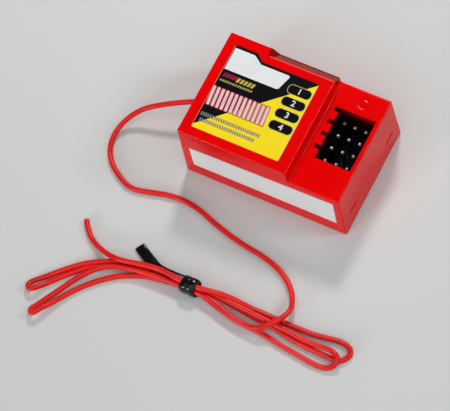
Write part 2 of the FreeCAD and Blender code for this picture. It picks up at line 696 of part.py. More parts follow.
def capacitor(label, x, y):
    """Electrolytic can with the crimped groove above its seal."""
    body = new_body(label, x, y, board_top)
    half = sketch(body, "XZ_Plane")
    wall = "cap_round / 2"
    polygon(half, [
        ("0", "0"), (wall, "0"), (wall, "0.12 * cap_tall"), (f"{wall} - can_round / 2", "0.17 * cap_tall"),
        (wall, "0.22 * cap_tall"), (wall, "cap_tall - mark_deep"), (f"{wall} - mark_deep", "cap_tall"),
        ("0", "cap_tall")])
    turn = body.newObject("PartDesign::Revolution", "Turn")
    turn.Profile = half
    turn.ReferenceAxis = (half, ["V_Axis"])
    turn.Angle = 360.0
    doc.recompute()
    return body


def regulator():
    """Transistor-shaped regulator with a flat face, standing on three legs."""
    body = new_body("regulator", "regulator_x", "regulator_y", f"{board_top} + regulator_stand")
    disc = sketch(body, "XY_Plane")
    circle(disc, "2 * regulator_round")
    pad(body, disc, "regulator_tall")
    shave = sketch(body, "XY_Plane", out="regulator_tall")
    rectangle(shave, "4 * regulator_round", "2 * regulator_round", "0",
              "-regulator_flat - regulator_round")
    pocket(body, shave, "regulator_tall")
    return body


def regulator_legs():
    body = new_body("regulator_legs", "regulator_x", "regulator_y", board_top)
    section = sketch(body, "XY_Plane")
    rectangle(section, "leg_side", "leg_side", "-leg_pitch", "0")
    leg = pad(body, section, "regulator_stand")
    repeat(body, [leg], [("X_Axis", 3, "leg_pitch")])
    return body


def chip_group(label, x, y, long, wide, tall, rows):
    """Group of like surface-mounted parts in a regular field."""
    body = new_body(label, x, y, board_top)
    outline = sketch(body, "XY_Plane")
    rectangle(outline, long, wide)
    one = pad(body, outline, tall)
    repeat(body, [one], rows)
    return body


def antenna_root():
    """Inner end of the aerial wire, from its solder point up and out through the end wall."""
    body = new_body("antenna_root", "-root_x", "0", board_top)
    rise = f"(exit_height - {board_top} - root_bend)"
    wall = f"({parting_length} / 2 - (exit_height - tray_height) * {slope})"
    path = sketch(body, "XZ_Plane")
    up = FreeCAD.Vector(0, 0, 1)
    corner, middle = FreeCAD.Vector(0, 1, 0), FreeCAD.Vector(-2, 1, 0)
    top, out = FreeCAD.Vector(-2, 3, 0), FreeCAD.Vector(-4, 3, 0)
    upright = path.addGeometry(Part.LineSegment(FreeCAD.Vector(), corner), False)
    bend = path.addGeometry(Part.ArcOfCircle(Part.Circle(middle, up, 2), 0, math.pi / 2), False)
    level = path.addGeometry(Part.LineSegment(top, out), False)
    path.addConstraint(Sketcher.Constraint("Coincident", upright, 2, bend, 1))
    path.addConstraint(Sketcher.Constraint("Coincident", bend, 2, level, 1))
    path.addConstraint(Sketcher.Constraint("Horizontal", level))
    pin_point(path, upright, 1, "0", "0")
    pin_point(path, upright, 2, "0", rise)
    pin_point(path, bend, 3, "-root_bend", rise)
    pin_point(path, level, 1, x="-root_bend")
    pin_point(path, level, 2, x=f"root_x - {wall}")
    section = sketch(body, "XY_Plane")
    circle(section, "wire_round")
    pipe = body.newObject("PartDesign::AdditivePipe", "Wire")
    pipe.Profile = section
    pipe.Spine = (path, [])
    doc.recompute()
    return body


# Aerial wire: the points of its route, in millimetres, chosen to follow the way it lies

lead_route = [
    (-21.5, 0.0, 6.8), (-25.3, -1.8, 6.6), (-30.0, -4.0, 5.7), (-34.3, -6.2, 3.8),
    (-37.2, -10.2, 1.8), (-37.6, -14.6, 0.7), (-35.4, -18.4, 0.6), (-31.8, -20.9, 0.6),
    (-28.2, -22.4, 0.6), (-24.6, -21.6, 0.6), (-19.0, -20.1, 0.6), (-13.0, -20.4, 0.6),
    (-7.0, -22.5, 0.6), (-0.5, -24.1, 0.6), (6.0, -24.9, 0.6), (11.2, -26.7, 0.65),
    (14.9, -29.9, 1.2), (16.6, -33.4, 2.4)]

tail_route = [
    (-20.2, -38.4, 2.8), (-23.2, -38.7, 2.6), (-26.2, -38.0, 1.7), (-29.4, -36.8, 0.6),
    (-31.9, -35.0, 0.6), (-33.6, -32.7, 0.6)]

hank_outline = [
    (-1.5, -36.2), (12.0, -35.7), (22.0, -35.5), (28.6, -34.8), (31.2, -35.2), (32.6, -37.0),
    (32.0, -39.2), (30.9, -40.4), (30.5, -41.9), (28.2, -42.7), (20.0, -42.1), (12.5, -41.7),
    (4.5, -41.3), (-1.5, -39.0), (-9.3, -39.0), (-15.5, -40.0), (-22.4, -43.2), (-26.4, -47.0),
    (-29.6, -51.4), (-31.4, -55.0), (-33.2, -57.4), (-34.2, -57.6), (-35.3, -56.6), (-35.3, -55.2),
    (-32.8, -51.2), (-28.8, -44.2), (-34.8, -51.2), (-35.9, -52.5), (-37.3, -52.7), (-38.5, -51.5),
    (-38.4, -50.0), (-33.7, -45.3), (-29.0, -41.0), (-24.2, -39.0), (-18.3, -36.6),
    (-14.0, -36.1), (-9.3, -36.2)]

hank_ridge_outline = [
    (-1.5, -36.2), (8.0, -36.2), (10.5, -40.9), (4.5, -41.0), (-1.5, -39.0), (-9.3, -39.0),
    (-15.0, -39.3), (-20.2, -39.6), (-20.2, -37.5), (-14.0, -36.4), (-9.3, -36.2)]

hank_mound_outline = [
    (14.2, -34.3), (18.9, -33.5), (18.6, -38.0), (15.0, -41.2), (8.5, -41.4), (7.0, -38.6),
    (12.0, -37.4)]

strip_sections = [
    ((-7.0, -35.6, 1.30), (0.0, 0.0, 1.0)), ((-11.5, -35.3, 1.25), (0.0, 0.15, 0.99)),
    ((-15.6, -34.9, 1.20), (0.25, 0.5, 0.83)), ((-19.7, -33.85, 0.80), (0.46, 0.85, 0.25))]


def wire_path(points):
    """Straight runs joined by tangent arcs, each arc as large as its two runs allow."""
    edges = []
    radii = []
    start = points[0]
    for before, corner, after in zip(points, points[1:], points[2:]):
        incoming = (corner - before).normalize()
        outgoing = (after - corner).normalize()
        turn = incoming.getAngle(outgoing)
        reach = 0.45 * min(before.distanceToPoint(corner), corner.distanceToPoint(after))
        radii.append(reach / math.tan(turn / 2))
        arc_start = corner - incoming * reach
        arc_end = corner + outgoing * reach
        inward = (outgoing - incoming).normalize()
        depth = radii[-1] / math.cos(turn / 2) - radii[-1]
        edges.append(Part.LineSegment(start, arc_start).toShape())
        edges.append(Part.Arc(arc_start, corner + inward * depth, arc_end).toShape())
        start = arc_end
    edges.append(Part.LineSegment(start, points[-1]).toShape())
    return Part.Wire(edges), radii


def wire_feature(label, points):
    """Round wire swept along the route, its volume checked against section times length."""
    path, radii = wire_path(points)
    radius = size("wire_round") / 2
    along = (points[1] - points[0]).normalize()
    section = Part.Wire([Part.Circle(points[0], along, radius).toShape()])
    shape = path.makePipeShell([section], True, False)
    expected = math.pi * radius ** 2 * path.Length
    print(label, "length", round(path.Length, 1), "radii", [round(r, 1) for r in radii])
    if abs(shape.Volume / expected - 1) > 0.01:
        raise RuntimeError(f"{label} has the wrong volume")
    return feature_of(label, shape)


def feature_of(label, shape):
    item = doc.addObject("Part::Feature", label)
    item.Shape = shape.Solids[0] if len(shape.Solids) == 1 else shape
    item.Placement = FreeCAD.Placement()
    return item


def vectors(points):
    return [FreeCAD.Vector(*point) for point in points]


def aerial_exit():
    """Middle of the wire where it leaves the outer face of the end wall."""
    lean = math.tan(math.radians(size("draft")))
    return FreeCAD.Vector(-size("case_length") / 2 + size("exit_height") * lean, 0, size("exit_height"))


def antenna_lead():
    return wire_feature("antenna_lead", [aerial_exit()] + vectors(lead_route))


def antenna_tail():
    return wire_feature("antenna_tail", vectors(tail_route))


def slab(outline, height):
    """Upright block over a plan outline."""
    points = [FreeCAD.Vector(x, y, 0) for x, y in outline]
    return Part.Face(Part.makePolygon(points + points[:1])).extrude(FreeCAD.Vector(0, 0, height))


def end_room(end, before):
    """Block on a wire's side of its end, which trims the hank flat where the wire meets it."""
    side = 3 * size("wire_round")
    block = Part.makeBox(side, side, side, FreeCAD.Vector(-side / 2, -side / 2, 0))
    turn = FreeCAD.Rotation(FreeCAD.Vector(0, 0, 1), before - end)
    block.Placement = FreeCAD.Placement(end, turn).multiply(block.Placement)
    return block


def antenna_hank():
    """Outer shape of the folded wire on both sides of its tie."""
    hank = slab(hank_outline, size("hank_low"))
    hank = hank.fuse(slab(hank_ridge_outline, size("hank_ridge")))
    hank = hank.fuse(slab(hank_mound_outline, size("hank_mound")))
    long = size("tie_long") + 2 * size("tie_wall")
    under = Part.makeBox(long, 2 * size("waist_width"), size("tie_wall"),
                         FreeCAD.Vector(size("tie_x") - long / 2, size("tie_y") - size("waist_width"), 0))
    hank = hank.cut(under)
    lead = vectors(lead_route)
    tail = vectors(tail_route)
    hank = hank.cut(end_room(lead[-1], lead[-2])).cut(end_room(tail[0], tail[1]))
    return feature_of("antenna_hank", hank.removeSplitter())


def hank_tie():
    """Flat plastic tie wrapped round the waist of the hank, its free end left to one side."""
    gap, wall = size("tie_gap"), size("tie_wall")
    wide, tall = size("waist_width") + 2 * gap, size("waist_tall")
    long = size("tie_long")
    corner = FreeCAD.Vector(size("tie_x") - long / 2, size("tie_y") - wide / 2 - wall, 0)
    outer = Part.makeBox(long, wide + 2 * wall, tall + 2 * wall + gap, corner)
    outer = outer.makeFillet(size("tie_round"), [e for e in outer.Edges if e.BoundBox.XLength > 1])
    hole = Part.makeBox(2 * long, wide, tall + gap, corner + FreeCAD.Vector(-long / 2, wall, wall))
    sections = [strip_section(*row) for row in strip_sections]
    tail = Part.makeLoft(sections, True, False)
    return feature_of("hank_tie", outer.cut(hole).fuse(tail).removeSplitter())


def strip_section(middle, across):
    """Rectangular section of the tie's free end, its width laid along a given direction."""
    middle = FreeCAD.Vector(*middle)
    across = FreeCAD.Vector(*across).normalize() * size("strip_width") / 2
    thick = across.cross(FreeCAD.Vector(1, 0, 0)).normalize() * size("strip_thick") / 2
    points = [middle + across + thick, middle - across + thick,
              middle - across - thick, middle + across - thick]
    return Part.makePolygon(points + points[:1])


sub_parts = [
    top_cover(), bottom_cover(), top_label(), band_label(), main_board(), header_base(),
    header_pins(), crystal_can(), crystal_sleeve(), crystal_pins(), crystal_contacts(),
    crystal_socket()]
sub_parts += coils()
sub_parts += [
    chip("receiver_chip", "receiver_long", "receiver_y"),
    chip_leads("receiver_chip_leads", 8, "receiver_y"),
    chip("decoder_chip", "decoder_long", "decoder_y"),
    chip_leads("decoder_chip_leads", 7, "decoder_y"),
    ceramic_filter(),
    capacitor("supply_capacitor", "cap_x", "cap_y"),
    capacitor("signal_capacitor", "second_cap_x", "second_cap_y"),
    regulator(),
    regulator_legs(),
    chip_group("chip_resistors", "chip_x", "chip_y", "chip_wide", "chip_long", "chip_tall",
               [("X_Axis", 3, "chip_pitch")]),
    chip_group("chip_capacitors", "block_x", "block_y", "chip_long", "chip_wide", "block_tall",
               [("Y_Axis", 3, "block_pitch")]),
    chip_group("switching_transistors", "switch_x", "switch_y", "switch_wide", "switch_long",
               "switch_tall", [("Y_Axis", 2, "switch_pitch")]),
    antenna_root(), antenna_lead(), antenna_hank(), antenna_tail(), hank_tie()]
doc.recompute()

for item in doc.Objects:
    if "Invalid" in item.State or "Error" in item.State:
        raise RuntimeError(f"{item.Label} failed, in {[owner.Label for owner in item.InList]}")

for part in sub_parts:
    shape = part.Shape
    if shape.isNull() or not shape.isValid() or not shape.Solids:
        raise RuntimeError(f"{part.Label} has no sound shape")
    shape.exportStep(f"parts/{part.Label}.step")
print(len(sub_parts), "sub-parts written")
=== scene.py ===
import bpy, bmesh, math
from mathutils import Matrix, Vector


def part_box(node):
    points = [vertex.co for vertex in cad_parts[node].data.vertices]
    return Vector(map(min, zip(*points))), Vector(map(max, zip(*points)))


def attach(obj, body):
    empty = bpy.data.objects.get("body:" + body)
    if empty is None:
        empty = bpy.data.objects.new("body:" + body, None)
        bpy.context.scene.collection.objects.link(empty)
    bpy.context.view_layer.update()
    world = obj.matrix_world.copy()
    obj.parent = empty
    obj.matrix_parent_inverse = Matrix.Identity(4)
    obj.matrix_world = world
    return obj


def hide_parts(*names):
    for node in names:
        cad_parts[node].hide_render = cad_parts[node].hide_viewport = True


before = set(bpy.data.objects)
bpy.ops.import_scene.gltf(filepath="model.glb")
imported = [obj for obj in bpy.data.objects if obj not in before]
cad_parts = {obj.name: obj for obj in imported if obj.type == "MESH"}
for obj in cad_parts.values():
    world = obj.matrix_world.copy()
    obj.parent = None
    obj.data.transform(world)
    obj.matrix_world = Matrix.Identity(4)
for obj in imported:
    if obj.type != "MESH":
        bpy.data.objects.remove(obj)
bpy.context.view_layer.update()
mm = 0.001
print("frame loaded,", len(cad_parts), "CAD nodes")


# small helpers for node trees
def addNode(tree, kind, inputs=None, **settings):
    made = tree.nodes.new(kind)
    for key, value in settings.items():
        setattr(made, key, value)
    for key, value in (inputs or {}).items():
        if isinstance(value, bpy.types.NodeSocket):
            tree.links.new(value, made.inputs[key])
        else:
            made.inputs[key].default_value = value
    return made


def mathNode(tree, operation, *values, clamp=False):
    made = addNode(tree, "ShaderNodeMath", dict(enumerate(values)), operation=operation)
    made.use_clamp = clamp
    return made.outputs[0]


def vectorNode(tree, operation, *values, out="Vector"):
    made = addNode(tree, "ShaderNodeVectorMath", dict(enumerate(values)), operation=operation)
    return made.outputs[out]


def mixColour(tree, factor, first, second, blend="MIX"):
    made = addNode(tree, "ShaderNodeMix", data_type="RGBA", blend_type=blend)
    for key, value in (("Factor_Float", factor), ("A_Color", first), ("B_Color", second)):
        socket = next(one for one in made.inputs if one.identifier == key)
        if isinstance(value, bpy.types.NodeSocket):
            tree.links.new(value, socket)
        else:
            socket.default_value = value if key == "Factor_Float" else (*value[:3], 1.0)
    return next(one for one in made.outputs if one.identifier == "Result_Color")


def spread(tree, value, low, high, toLow, toHigh):
    made = addNode(tree, "ShaderNodeMapRange",
                   {"Value": value, "From Min": low, "From Max": high,
                    "To Min": toLow, "To Max": toHigh})
    return made.outputs["Result"]


def newGroup(name, inputs, outputs):
    group = bpy.data.node_groups.new(name, "ShaderNodeTree")
    for label, kind, value in inputs:
        socket = group.interface.new_socket(name=label, in_out="INPUT", socket_type=kind)
        socket.default_value = value
    for label, kind in outputs:
        group.interface.new_socket(name=label, in_out="OUTPUT", socket_type=kind)
    entry = group.nodes.new("NodeGroupInput").outputs
    leave = group.nodes.new("NodeGroupOutput").inputs
    return group, entry, leave


def objectPoint(tree):
    return addNode(tree, "ShaderNodeTexCoord").outputs["Object"]


def axisOf(tree, vector, axis):
    return addNode(tree, "ShaderNodeSeparateXYZ", {"Vector": vector}).outputs[axis]


def noise(tree, vector, scale, detail=2.0):
    return addNode(tree, "ShaderNodeTexNoise",
                   {"Vector": vector, "Scale": scale, "Detail": detail}).outputs[0]


def useGroup(tree, group, **values):
    made = tree.nodes.new("ShaderNodeGroup")
    made.node_tree = group
    for key, value in values.items():
        made.inputs[key.replace("_", " ")].default_value = value
    return made.outputs


# shared effects, as node groups
skinLook = {"stretch": (1.0, 0.12, 0.4), "rubScale": 2600.0, "rubs": (0.60, 0.74), "tone": (0.3, 0.7),
            "rubDulls": 0.25, "flowHeight": 0.6}


def buildMouldedSkin():
    group, entry, leave = newGroup(
        "mouldedSkin",
        [("Grain", "NodeSocketFloat", 4000.0), ("Flow", "NodeSocketFloat", 120.0),
         ("Gloss", "NodeSocketFloat", 0.25), ("Gloss Spread", "NodeSocketFloat", 0.08),
         ("Scuff", "NodeSocketFloat", 0.2)],
        [("Tone", "NodeSocketFloat"), ("Roughness", "NodeSocketFloat"),
         ("Height", "NodeSocketFloat"), ("Scuffs", "NodeSocketFloat")])
    point = objectPoint(group)
    grain = noise(group, point, entry["Grain"])
    flow = noise(group, point, entry["Flow"], 3.0)
    rubs = noise(group, vectorNode(group, "MULTIPLY", point, skinLook["stretch"]),
                 skinLook["rubScale"], 4.0)
    worn = mathNode(group, "MULTIPLY", spread(group, rubs, *skinLook["rubs"], 0.0, 1.0), entry["Scuff"])
    group.links.new(spread(group, flow, *skinLook["tone"], 0.0, 1.0), leave["Tone"])
    swing = mathNode(group, "MULTIPLY", mathNode(group, "SUBTRACT", flow, 0.5), entry["Gloss Spread"])
    dull = mathNode(group, "MULTIPLY_ADD", worn, skinLook["rubDulls"], swing)
    group.links.new(mathNode(group, "ADD", dull, entry["Gloss"]), leave["Roughness"])
    group.links.new(mathNode(group, "MULTIPLY_ADD", flow, skinLook["flowHeight"], grain),
                    leave["Height"])
    group.links.new(worn, leave["Scuffs"])
    return group


drawnLook = {"stain": (0.35, 0.7), "stainDulls": 0.18, "lineDulls": 0.1, "level": 0.14}


def buildDrawnMetal():
    group, entry, leave = newGroup(
        "drawnMetal",
        [("Lines", "NodeSocketFloat", 1500.0), ("Along", "NodeSocketVector", (0.06, 1.0, 1.0)),
         ("Gloss", "NodeSocketFloat", 0.3), ("Stain", "NodeSocketFloat", 300.0)],
        [("Tone", "NodeSocketFloat"), ("Roughness", "NodeSocketFloat"), ("Height", "NodeSocketFloat")])
    point = objectPoint(group)
    lines = noise(group, vectorNode(group, "MULTIPLY", point, entry["Along"]), entry["Lines"], 3.0)
    stain = noise(group, point, entry["Stain"], 4.0)
    group.links.new(spread(group, stain, *drawnLook["stain"], 1.0, 0.0), leave["Tone"])
    dull = mathNode(group, "MULTIPLY", lines, drawnLook["lineDulls"])
    dull = mathNode(group, "MULTIPLY_ADD", stain, drawnLook["stainDulls"], dull)
    dull = mathNode(group, "SUBTRACT", dull, drawnLook["level"])
    group.links.new(mathNode(group, "ADD", dull, entry["Gloss"]), leave["Roughness"])
    group.links.new(lines, leave["Height"])
    return group


inkEdge = 0.03 * mm   # half the width over which a printed edge fades


def buildPrintMark():
    # printed shapes on a flat label: a box with round corners, leaning by Slant, in a row of
    # Last to either side, Pitch apart
    group, entry, leave = newGroup(
        "printMark",
        [("Centre", "NodeSocketVector", (0, 0, 0)), ("Half", "NodeSocketVector", (0.001, 0.001, 0)),
         ("Corner", "NodeSocketFloat", 0.0002), ("Slant", "NodeSocketFloat", 0.0),
         ("Pitch", "NodeSocketFloat", 0.001), ("Last", "NodeSocketFloat", 0.0)],
        [("Mask", "NodeSocketFloat")])
    away = vectorNode(group, "SUBTRACT", objectPoint(group), entry["Centre"])
    parts = addNode(group, "ShaderNodeSeparateXYZ", {"Vector": away}).outputs
    shift = mathNode(group, "MULTIPLY", parts["Y"], entry["Slant"])
    upright = mathNode(group, "SUBTRACT", parts["X"], shift)
    # the nearest place in the row, no further out than its last
    place = mathNode(group, "ROUND", mathNode(group, "DIVIDE", upright, entry["Pitch"]))
    first = mathNode(group, "MULTIPLY", entry["Last"], -1.0)
    place = mathNode(group, "MINIMUM", mathNode(group, "MAXIMUM", place, first), entry["Last"])
    folded = mathNode(group, "SUBTRACT", upright, mathNode(group, "MULTIPLY", place, entry["Pitch"]))
    flat = addNode(group, "ShaderNodeCombineXYZ", {"X": folded, "Y": parts["Y"]}).outputs[0]
    inner = vectorNode(group, "SUBTRACT", vectorNode(group, "ABSOLUTE", flat), entry["Half"])
    grown = addNode(group, "ShaderNodeCombineXYZ",
                    {"X": entry["Corner"], "Y": entry["Corner"]}).outputs[0]
    outer = vectorNode(group, "MAXIMUM", vectorNode(group, "ADD", inner, grown), (0.0, 0.0, 0.0))
    flatOuter = vectorNode(group, "MULTIPLY", outer, (1.0, 1.0, 0.0))
    gap = mathNode(group, "SUBTRACT", vectorNode(group, "LENGTH", flatOuter, out="Value"),
                   entry["Corner"])
    group.links.new(spread(group, gap, -inkEdge, inkEdge, 1.0, 0.0), leave["Mask"])
    return group


def buildPrintSide():
    # everything on one side of a straight printed boundary
    group, entry, leave = newGroup(
        "printSide",
        [("Start", "NodeSocketVector", (0, 0, 0)), ("Outward", "NodeSocketVector", (1, 0, 0))],
        [("Mask", "NodeSocketFloat")])
    away = vectorNode(group, "SUBTRACT", objectPoint(group), entry["Start"])
    side = vectorNode(group, "DOT_PRODUCT", away, entry["Outward"], out="Value")
    group.links.new(spread(group, side, -inkEdge, inkEdge, 0.0, 1.0), leave["Mask"])
    return group


mouldedSkin = buildMouldedSkin()
drawnMetal = buildDrawnMetal()
printMark = buildPrintMark()
printSide = buildPrintSide()


# materials
def newMaterial(name, **sockets):
    material = bpy.data.materials.new(name)
    material.use_nodes = True
    tree = material.node_tree
    tree.nodes.clear()
    out = tree.nodes.new("ShaderNodeOutputMaterial")
    shader = tree.nodes.new("ShaderNodeBsdfPrincipled")
    tree.links.new(shader.outputs["BSDF"], out.inputs["Surface"])
    for key, value in sockets.items():
        shader.inputs[key.replace("_", " ")].default_value = value
    return material, tree, shader.inputs


def addBump(tree, inputs, height, strength, distance):
    bump = addNode(tree, "ShaderNodeBump",
                   {"Height": height, "Strength": strength, "Distance": distance})
    tree.links.new(bump.outputs[0], inputs["Normal"])


skinDepth = 0.04 * mm   # depth of a moulded skin's grain
lineDepth = 0.03 * mm   # depth of drawn lines, and of the film's grain
rubbedLook = {"pale": 0.25, "mix": 0.35}
# painted shade on the pins deep in the bay: how dark it gets, and its colour
depthShadeLook = {"most": 0.93, "tone": (0.01, 0.01, 0.01)}


def plastic(name, colour, deep, gloss=0.25, glossSpread=0.08, grain=4000.0, flow=120.0,
            scuff=0.2, bump=0.05, **sockets):
    material, tree, inputs = newMaterial(name, **sockets)
    skin = useGroup(tree, mouldedSkin, Grain=grain, Flow=flow, Gloss=gloss,
                    Gloss_Spread=glossSpread, Scuff=scuff)
    base = mixColour(tree, skin["Tone"], deep, colour)
    pale = rubbedLook["pale"]
    paler = [min(1.0, (1 - pale) * c + pale * max(colour)) for c in colour]
    wearAndHighlight = mixColour(tree, mathNode(tree, "MULTIPLY", skin["Scuffs"], rubbedLook["mix"]), base, paler)
    tree.links.new(wearAndHighlight, inputs["Base Color"])
    tree.links.new(skin["Roughness"], inputs["Roughness"])
    addBump(tree, inputs, skin["Height"], bump, skinDepth)
    return material


def metal(name, colour, stain, gloss=0.3, lines=1500.0, along=(0.06, 1.0, 1.0), bump=0.08,
          fade=None, **sockets):
    material, tree, inputs = newMaterial(name, Metallic=1.0, **sockets)
    skin = useGroup(tree, drawnMetal, Lines=lines, Along=along, Gloss=gloss)
    base = mixColour(tree, skin["Tone"], stain, colour)
    if fade:
        # painted shade, darker with depth, between two heights in mm
        height = axisOf(tree, objectPoint(tree), "Z")
        depth = spread(tree, height, fade[0] * mm, fade[1] * mm, 0.0, depthShadeLook["most"])
        base = mixColour(tree, depth, base, depthShadeLook["tone"])
    tree.links.new(base, inputs["Base Color"])
    tree.links.new(skin["Roughness"], inputs["Roughness"])
    addBump(tree, inputs, skin["Height"], bump, lineDepth)
    return material


def epoxy(name, colour, deep, gloss):
    return plastic(name, colour, deep, gloss=gloss, grain=6000.0, bump=0.25)


def ferrite(name, colour, deep, gloss):
    return plastic(name, colour, deep, gloss=gloss, grain=2400.0, bump=0.3)


def coilShield(name, colour, stain, gloss):
    return metal(name, colour, stain, gloss=gloss, along=(1.0, 1.0, 0.06))


def tinned(name, colour, stain):
    return metal(name, colour, stain, lines=4200.0)


# circuit board: tracks under green resist, and painted shade under the pin bay, where almost no light
# reaches, from x = bay
board = {
    "resist": (0.012, 0.085, 0.035), "track": (0.03, 0.17, 0.07), "weave": (0.02, 0.11, 0.05),
    "cell": 420.0, "line": (0.05, 0.09), "fibre": 5200.0, "fibreShow": (0.4, 0.8), "fibreMix": 0.5,
    "turn": 45, "gloss": 0.34, "glossSwing": (-0.06, 0.1), "glossFrom": (0.2, 0.8), "bump": 0.3,
    "bay": 5.2, "bayEdge": 1.0, "bayShade": 0.96, "bayDull": 0.5, "bayShadeTone": (0.002, 0.002, 0.002),
}


def boardMaterial():
    material, tree, inputs = newMaterial("boardLaminate")
    point = objectPoint(tree)
    turned = addNode(tree, "ShaderNodeMapping",
                     {"Vector": point, "Rotation": (0, 0, math.radians(board["turn"]))})
    cells = addNode(tree, "ShaderNodeTexVoronoi", {"Vector": turned.outputs[0], "Scale": board["cell"]},
                    feature="DISTANCE_TO_EDGE")
    track = spread(tree, cells.outputs["Distance"], *board["line"], 1.0, 0.0)
    weave = noise(tree, point, board["fibre"])
    base = mixColour(tree, track, board["resist"], board["track"])
    fibres = spread(tree, weave, *board["fibreShow"], 0.0, board["fibreMix"])
    base = mixColour(tree, fibres, base, board["weave"])
    # painted shade under the pin bay
    under = spread(tree, axisOf(tree, point, "X"), board["bay"] * mm,
                   (board["bay"] + board["bayEdge"]) * mm, 0.0, board["bayShade"])
    tree.links.new(mixColour(tree, under, base, board["bayShadeTone"]), inputs["Base Color"])
    low, high = board["glossSwing"]
    rough = spread(tree, weave, *board["glossFrom"], board["gloss"] + low, board["gloss"] + high)
    tree.links.new(mathNode(tree, "MULTIPLY_ADD", under, board["bayDull"], rough), inputs["Roughness"])
    addBump(tree, inputs, track, board["bump"], skinDepth)
    return material


# the printed top label: plain fields, a bare banner, rows of strokes and four pills, in mm
label = {
    "dark": (0.005, 0.005, 0.008), "yellow": (0.98, 0.74, 0.018), "banner": (0.80, 0.80, 0.80),
    "grey": (0.21, 0.21, 0.20), "maroon": (0.34, 0.02, 0.04), "olive": (0.52, 0.42, 0.08),
    "khaki": (0.40, 0.33, 0.10), "crimson": (0.36, 0.015, 0.02), "rose": (0.84, 0.56, 0.58),
    "diagonal": ((-11.7, -5.8), (-0.667, 0.745)),
    # rows of plain strokes: ink, middle of the row, half size of a stroke, its corner and lean,
    # the spacing, and how many lie to either side
    "strokes": [("grey", (-8.85, -6.95), (0.17, 0.44), 0.1, 0.0, 0.52, 13),
                ("grey", (-9.0, -8.35), (0.17, 0.44), 0.1, 0.0, 0.52, 12),
                ("maroon", (-13.8, 3.0), (0.28, 0.5), 0.1, 0.3, 0.72, 2),
                ("olive", (-10.2, 2.85), (0.3, 0.55), 0.1, 0.3, 0.86, 2),
                ("khaki", (-11.9, 1.6), (0.2, 0.26), 0.08, 0.3, 0.6, 6),
                ("crimson", (-9.35, -2.4), (0.5, 2.42), 0.25, -0.1, 1.06, 6),
                ("rose", (-9.35, -2.4), (0.33, 2.25), 0.2, -0.1, 1.06, 6)],
    # the banner's outline is stepped beside the notch: middle, half size, corner, lean
    "bannerLow": ((-10.35, 6.15), (7.6, 1.93), 0.5, 0.3),
    "bannerHigh": ((-14.71, 7.75), (6.0, 1.78), 0.2, -1.47),
    "bannerLeft": -16.02, "bannerBack": 9.72,
    "pills": 4, "pillX": 1.2, "pillTop": 5.5, "pillPitch": 2.96, "pillHalf": (2.62, 1.04),
    "pillCorner": 0.9, "rim": 0.13, "rimCorner": 0.1, "rimInk": (0.55, 0.47, 0.16),
    # the film's cut edge shows paler outside this box
    "film": ((-6.05, -0.15), (10.15, 10.55), 0.3), "cut": (0.80, 0.52, 0.42), "cutMix": 0.6,
    "gloss": 0.11, "deepest": 0.93, "bump": 0.04,
}


def labelMaterial():
    material, tree, inputs = newMaterial("labelFilm")

    def at(x, y):
        return (x * mm, y * mm, 0.0)

    def mark(middle, half, corner, lean=0.0, spacing=1.0, last=0):
        return useGroup(tree, printMark, Centre=at(*middle), Half=at(*half), Corner=corner * mm,
                        Slant=lean, Pitch=spacing * mm, Last=last)["Mask"]

    def side(start, outward):
        return useGroup(tree, printSide, Start=at(*start), Outward=(*outward, 0.0))["Mask"]

    def both(first, second):
        return mathNode(tree, "MULTIPLY", first, second)

    def either(first, second):
        return mathNode(tree, "MAXIMUM", first, second)

    colour = mixColour(tree, side(*label["diagonal"]), label["yellow"], label["dark"])
    for ink, *stroke in label["strokes"]:
        colour = mixColour(tree, mark(*stroke), colour, label[ink])
    banner = either(mark(*label["bannerLow"]), mark(*label["bannerHigh"]))
    inside = both(side((label["bannerLeft"], 0), (1, 0)), side((0, label["bannerBack"]), (0, -1)))
    colour = mixColour(tree, both(banner, inside), colour, label["banner"])
    # pills, each with a thin pale line round it
    halfX, halfY = label["pillHalf"]
    grown = (halfX + label["rim"], halfY + label["rim"])
    for row in range(label["pills"]):
        middle = (label["pillX"], label["pillTop"] - row * label["pillPitch"])
        rim = mark(middle, grown, label["pillCorner"] + label["rimCorner"])
        colour = mixColour(tree, rim, colour, label["rimInk"])
        pill = mark(middle, label["pillHalf"], label["pillCorner"])
        colour = mixColour(tree, pill, colour, label["dark"])
    edge = mathNode(tree, "SUBTRACT", 1.0, mark(*label["film"]))
    colour = mixColour(tree, mathNode(tree, "MULTIPLY", edge, label["cutMix"]), colour, label["cut"])
    skin = useGroup(tree, mouldedSkin, Grain=9000.0, Flow=260.0, Gloss=label["gloss"],
                    Gloss_Spread=0.05, Scuff=0.1)
    tone = spread(tree, skin["Tone"], 0.0, 1.0, label["deepest"], 1.0)
    toned = addNode(tree, "ShaderNodeCombineColor", {0: tone, 1: tone, 2: tone}).outputs[0]
    tree.links.new(mixColour(tree, 1.0, colour, toned, blend="MULTIPLY"), inputs["Base Color"])
    tree.links.new(skin["Roughness"], inputs["Roughness"])
    addBump(tree, inputs, skin["Height"], label["bump"], lineDepth)
    return material


# red lid and tray, in mm: painted shade on the bay's inner faces, darker with depth, painted shade
# on the notch's sloping face with a painted highlight along its top edge, and the gate mark is a
# soft ring; a place is a box's middle and half size
mould = {
    "colour": (0.82, 0.0015, 0.002), "deep": (0.74, 0.001, 0.0015), "gloss": 0.11, "bump": 0.04,
    # painted shade on the bay's inner faces, darker with depth
    "bay": ((13.1, 0.85, 12.2), (5.3, 6.42, 3.1)), "bayTop": 15.3, "bayDepth": 2.6,
    "bayShade": (0.35, 0.97), "bayDull": 0.3, "bayShadeTone": (0.012, 0.0006, 0.0008),
    # painted shade on the notch's sloping face
    "slope": ((-0.5, 12.1, 17.8), (8.6, 1.35, 0.97)), "slopeMix": 0.68,
    "slopeTone": (0.02, 0.001, 0.001),
    # painted highlight: a pale line along the top edge of the notch's sloping face
    "wearAndHighlight": ((-0.7, 10.62, 18.8), (7.6, 0.13, 0.1)), "edgeHighlightMix": 0.5,
    "edgeHighlightTone": (0.95, 0.16, 0.13), "placeEdge": 0.04,
    "ring": (13.7, 9.9, 15.4), "ringRadius": 1.05, "ringHalf": 0.42, "ringDip": 0.032,
}


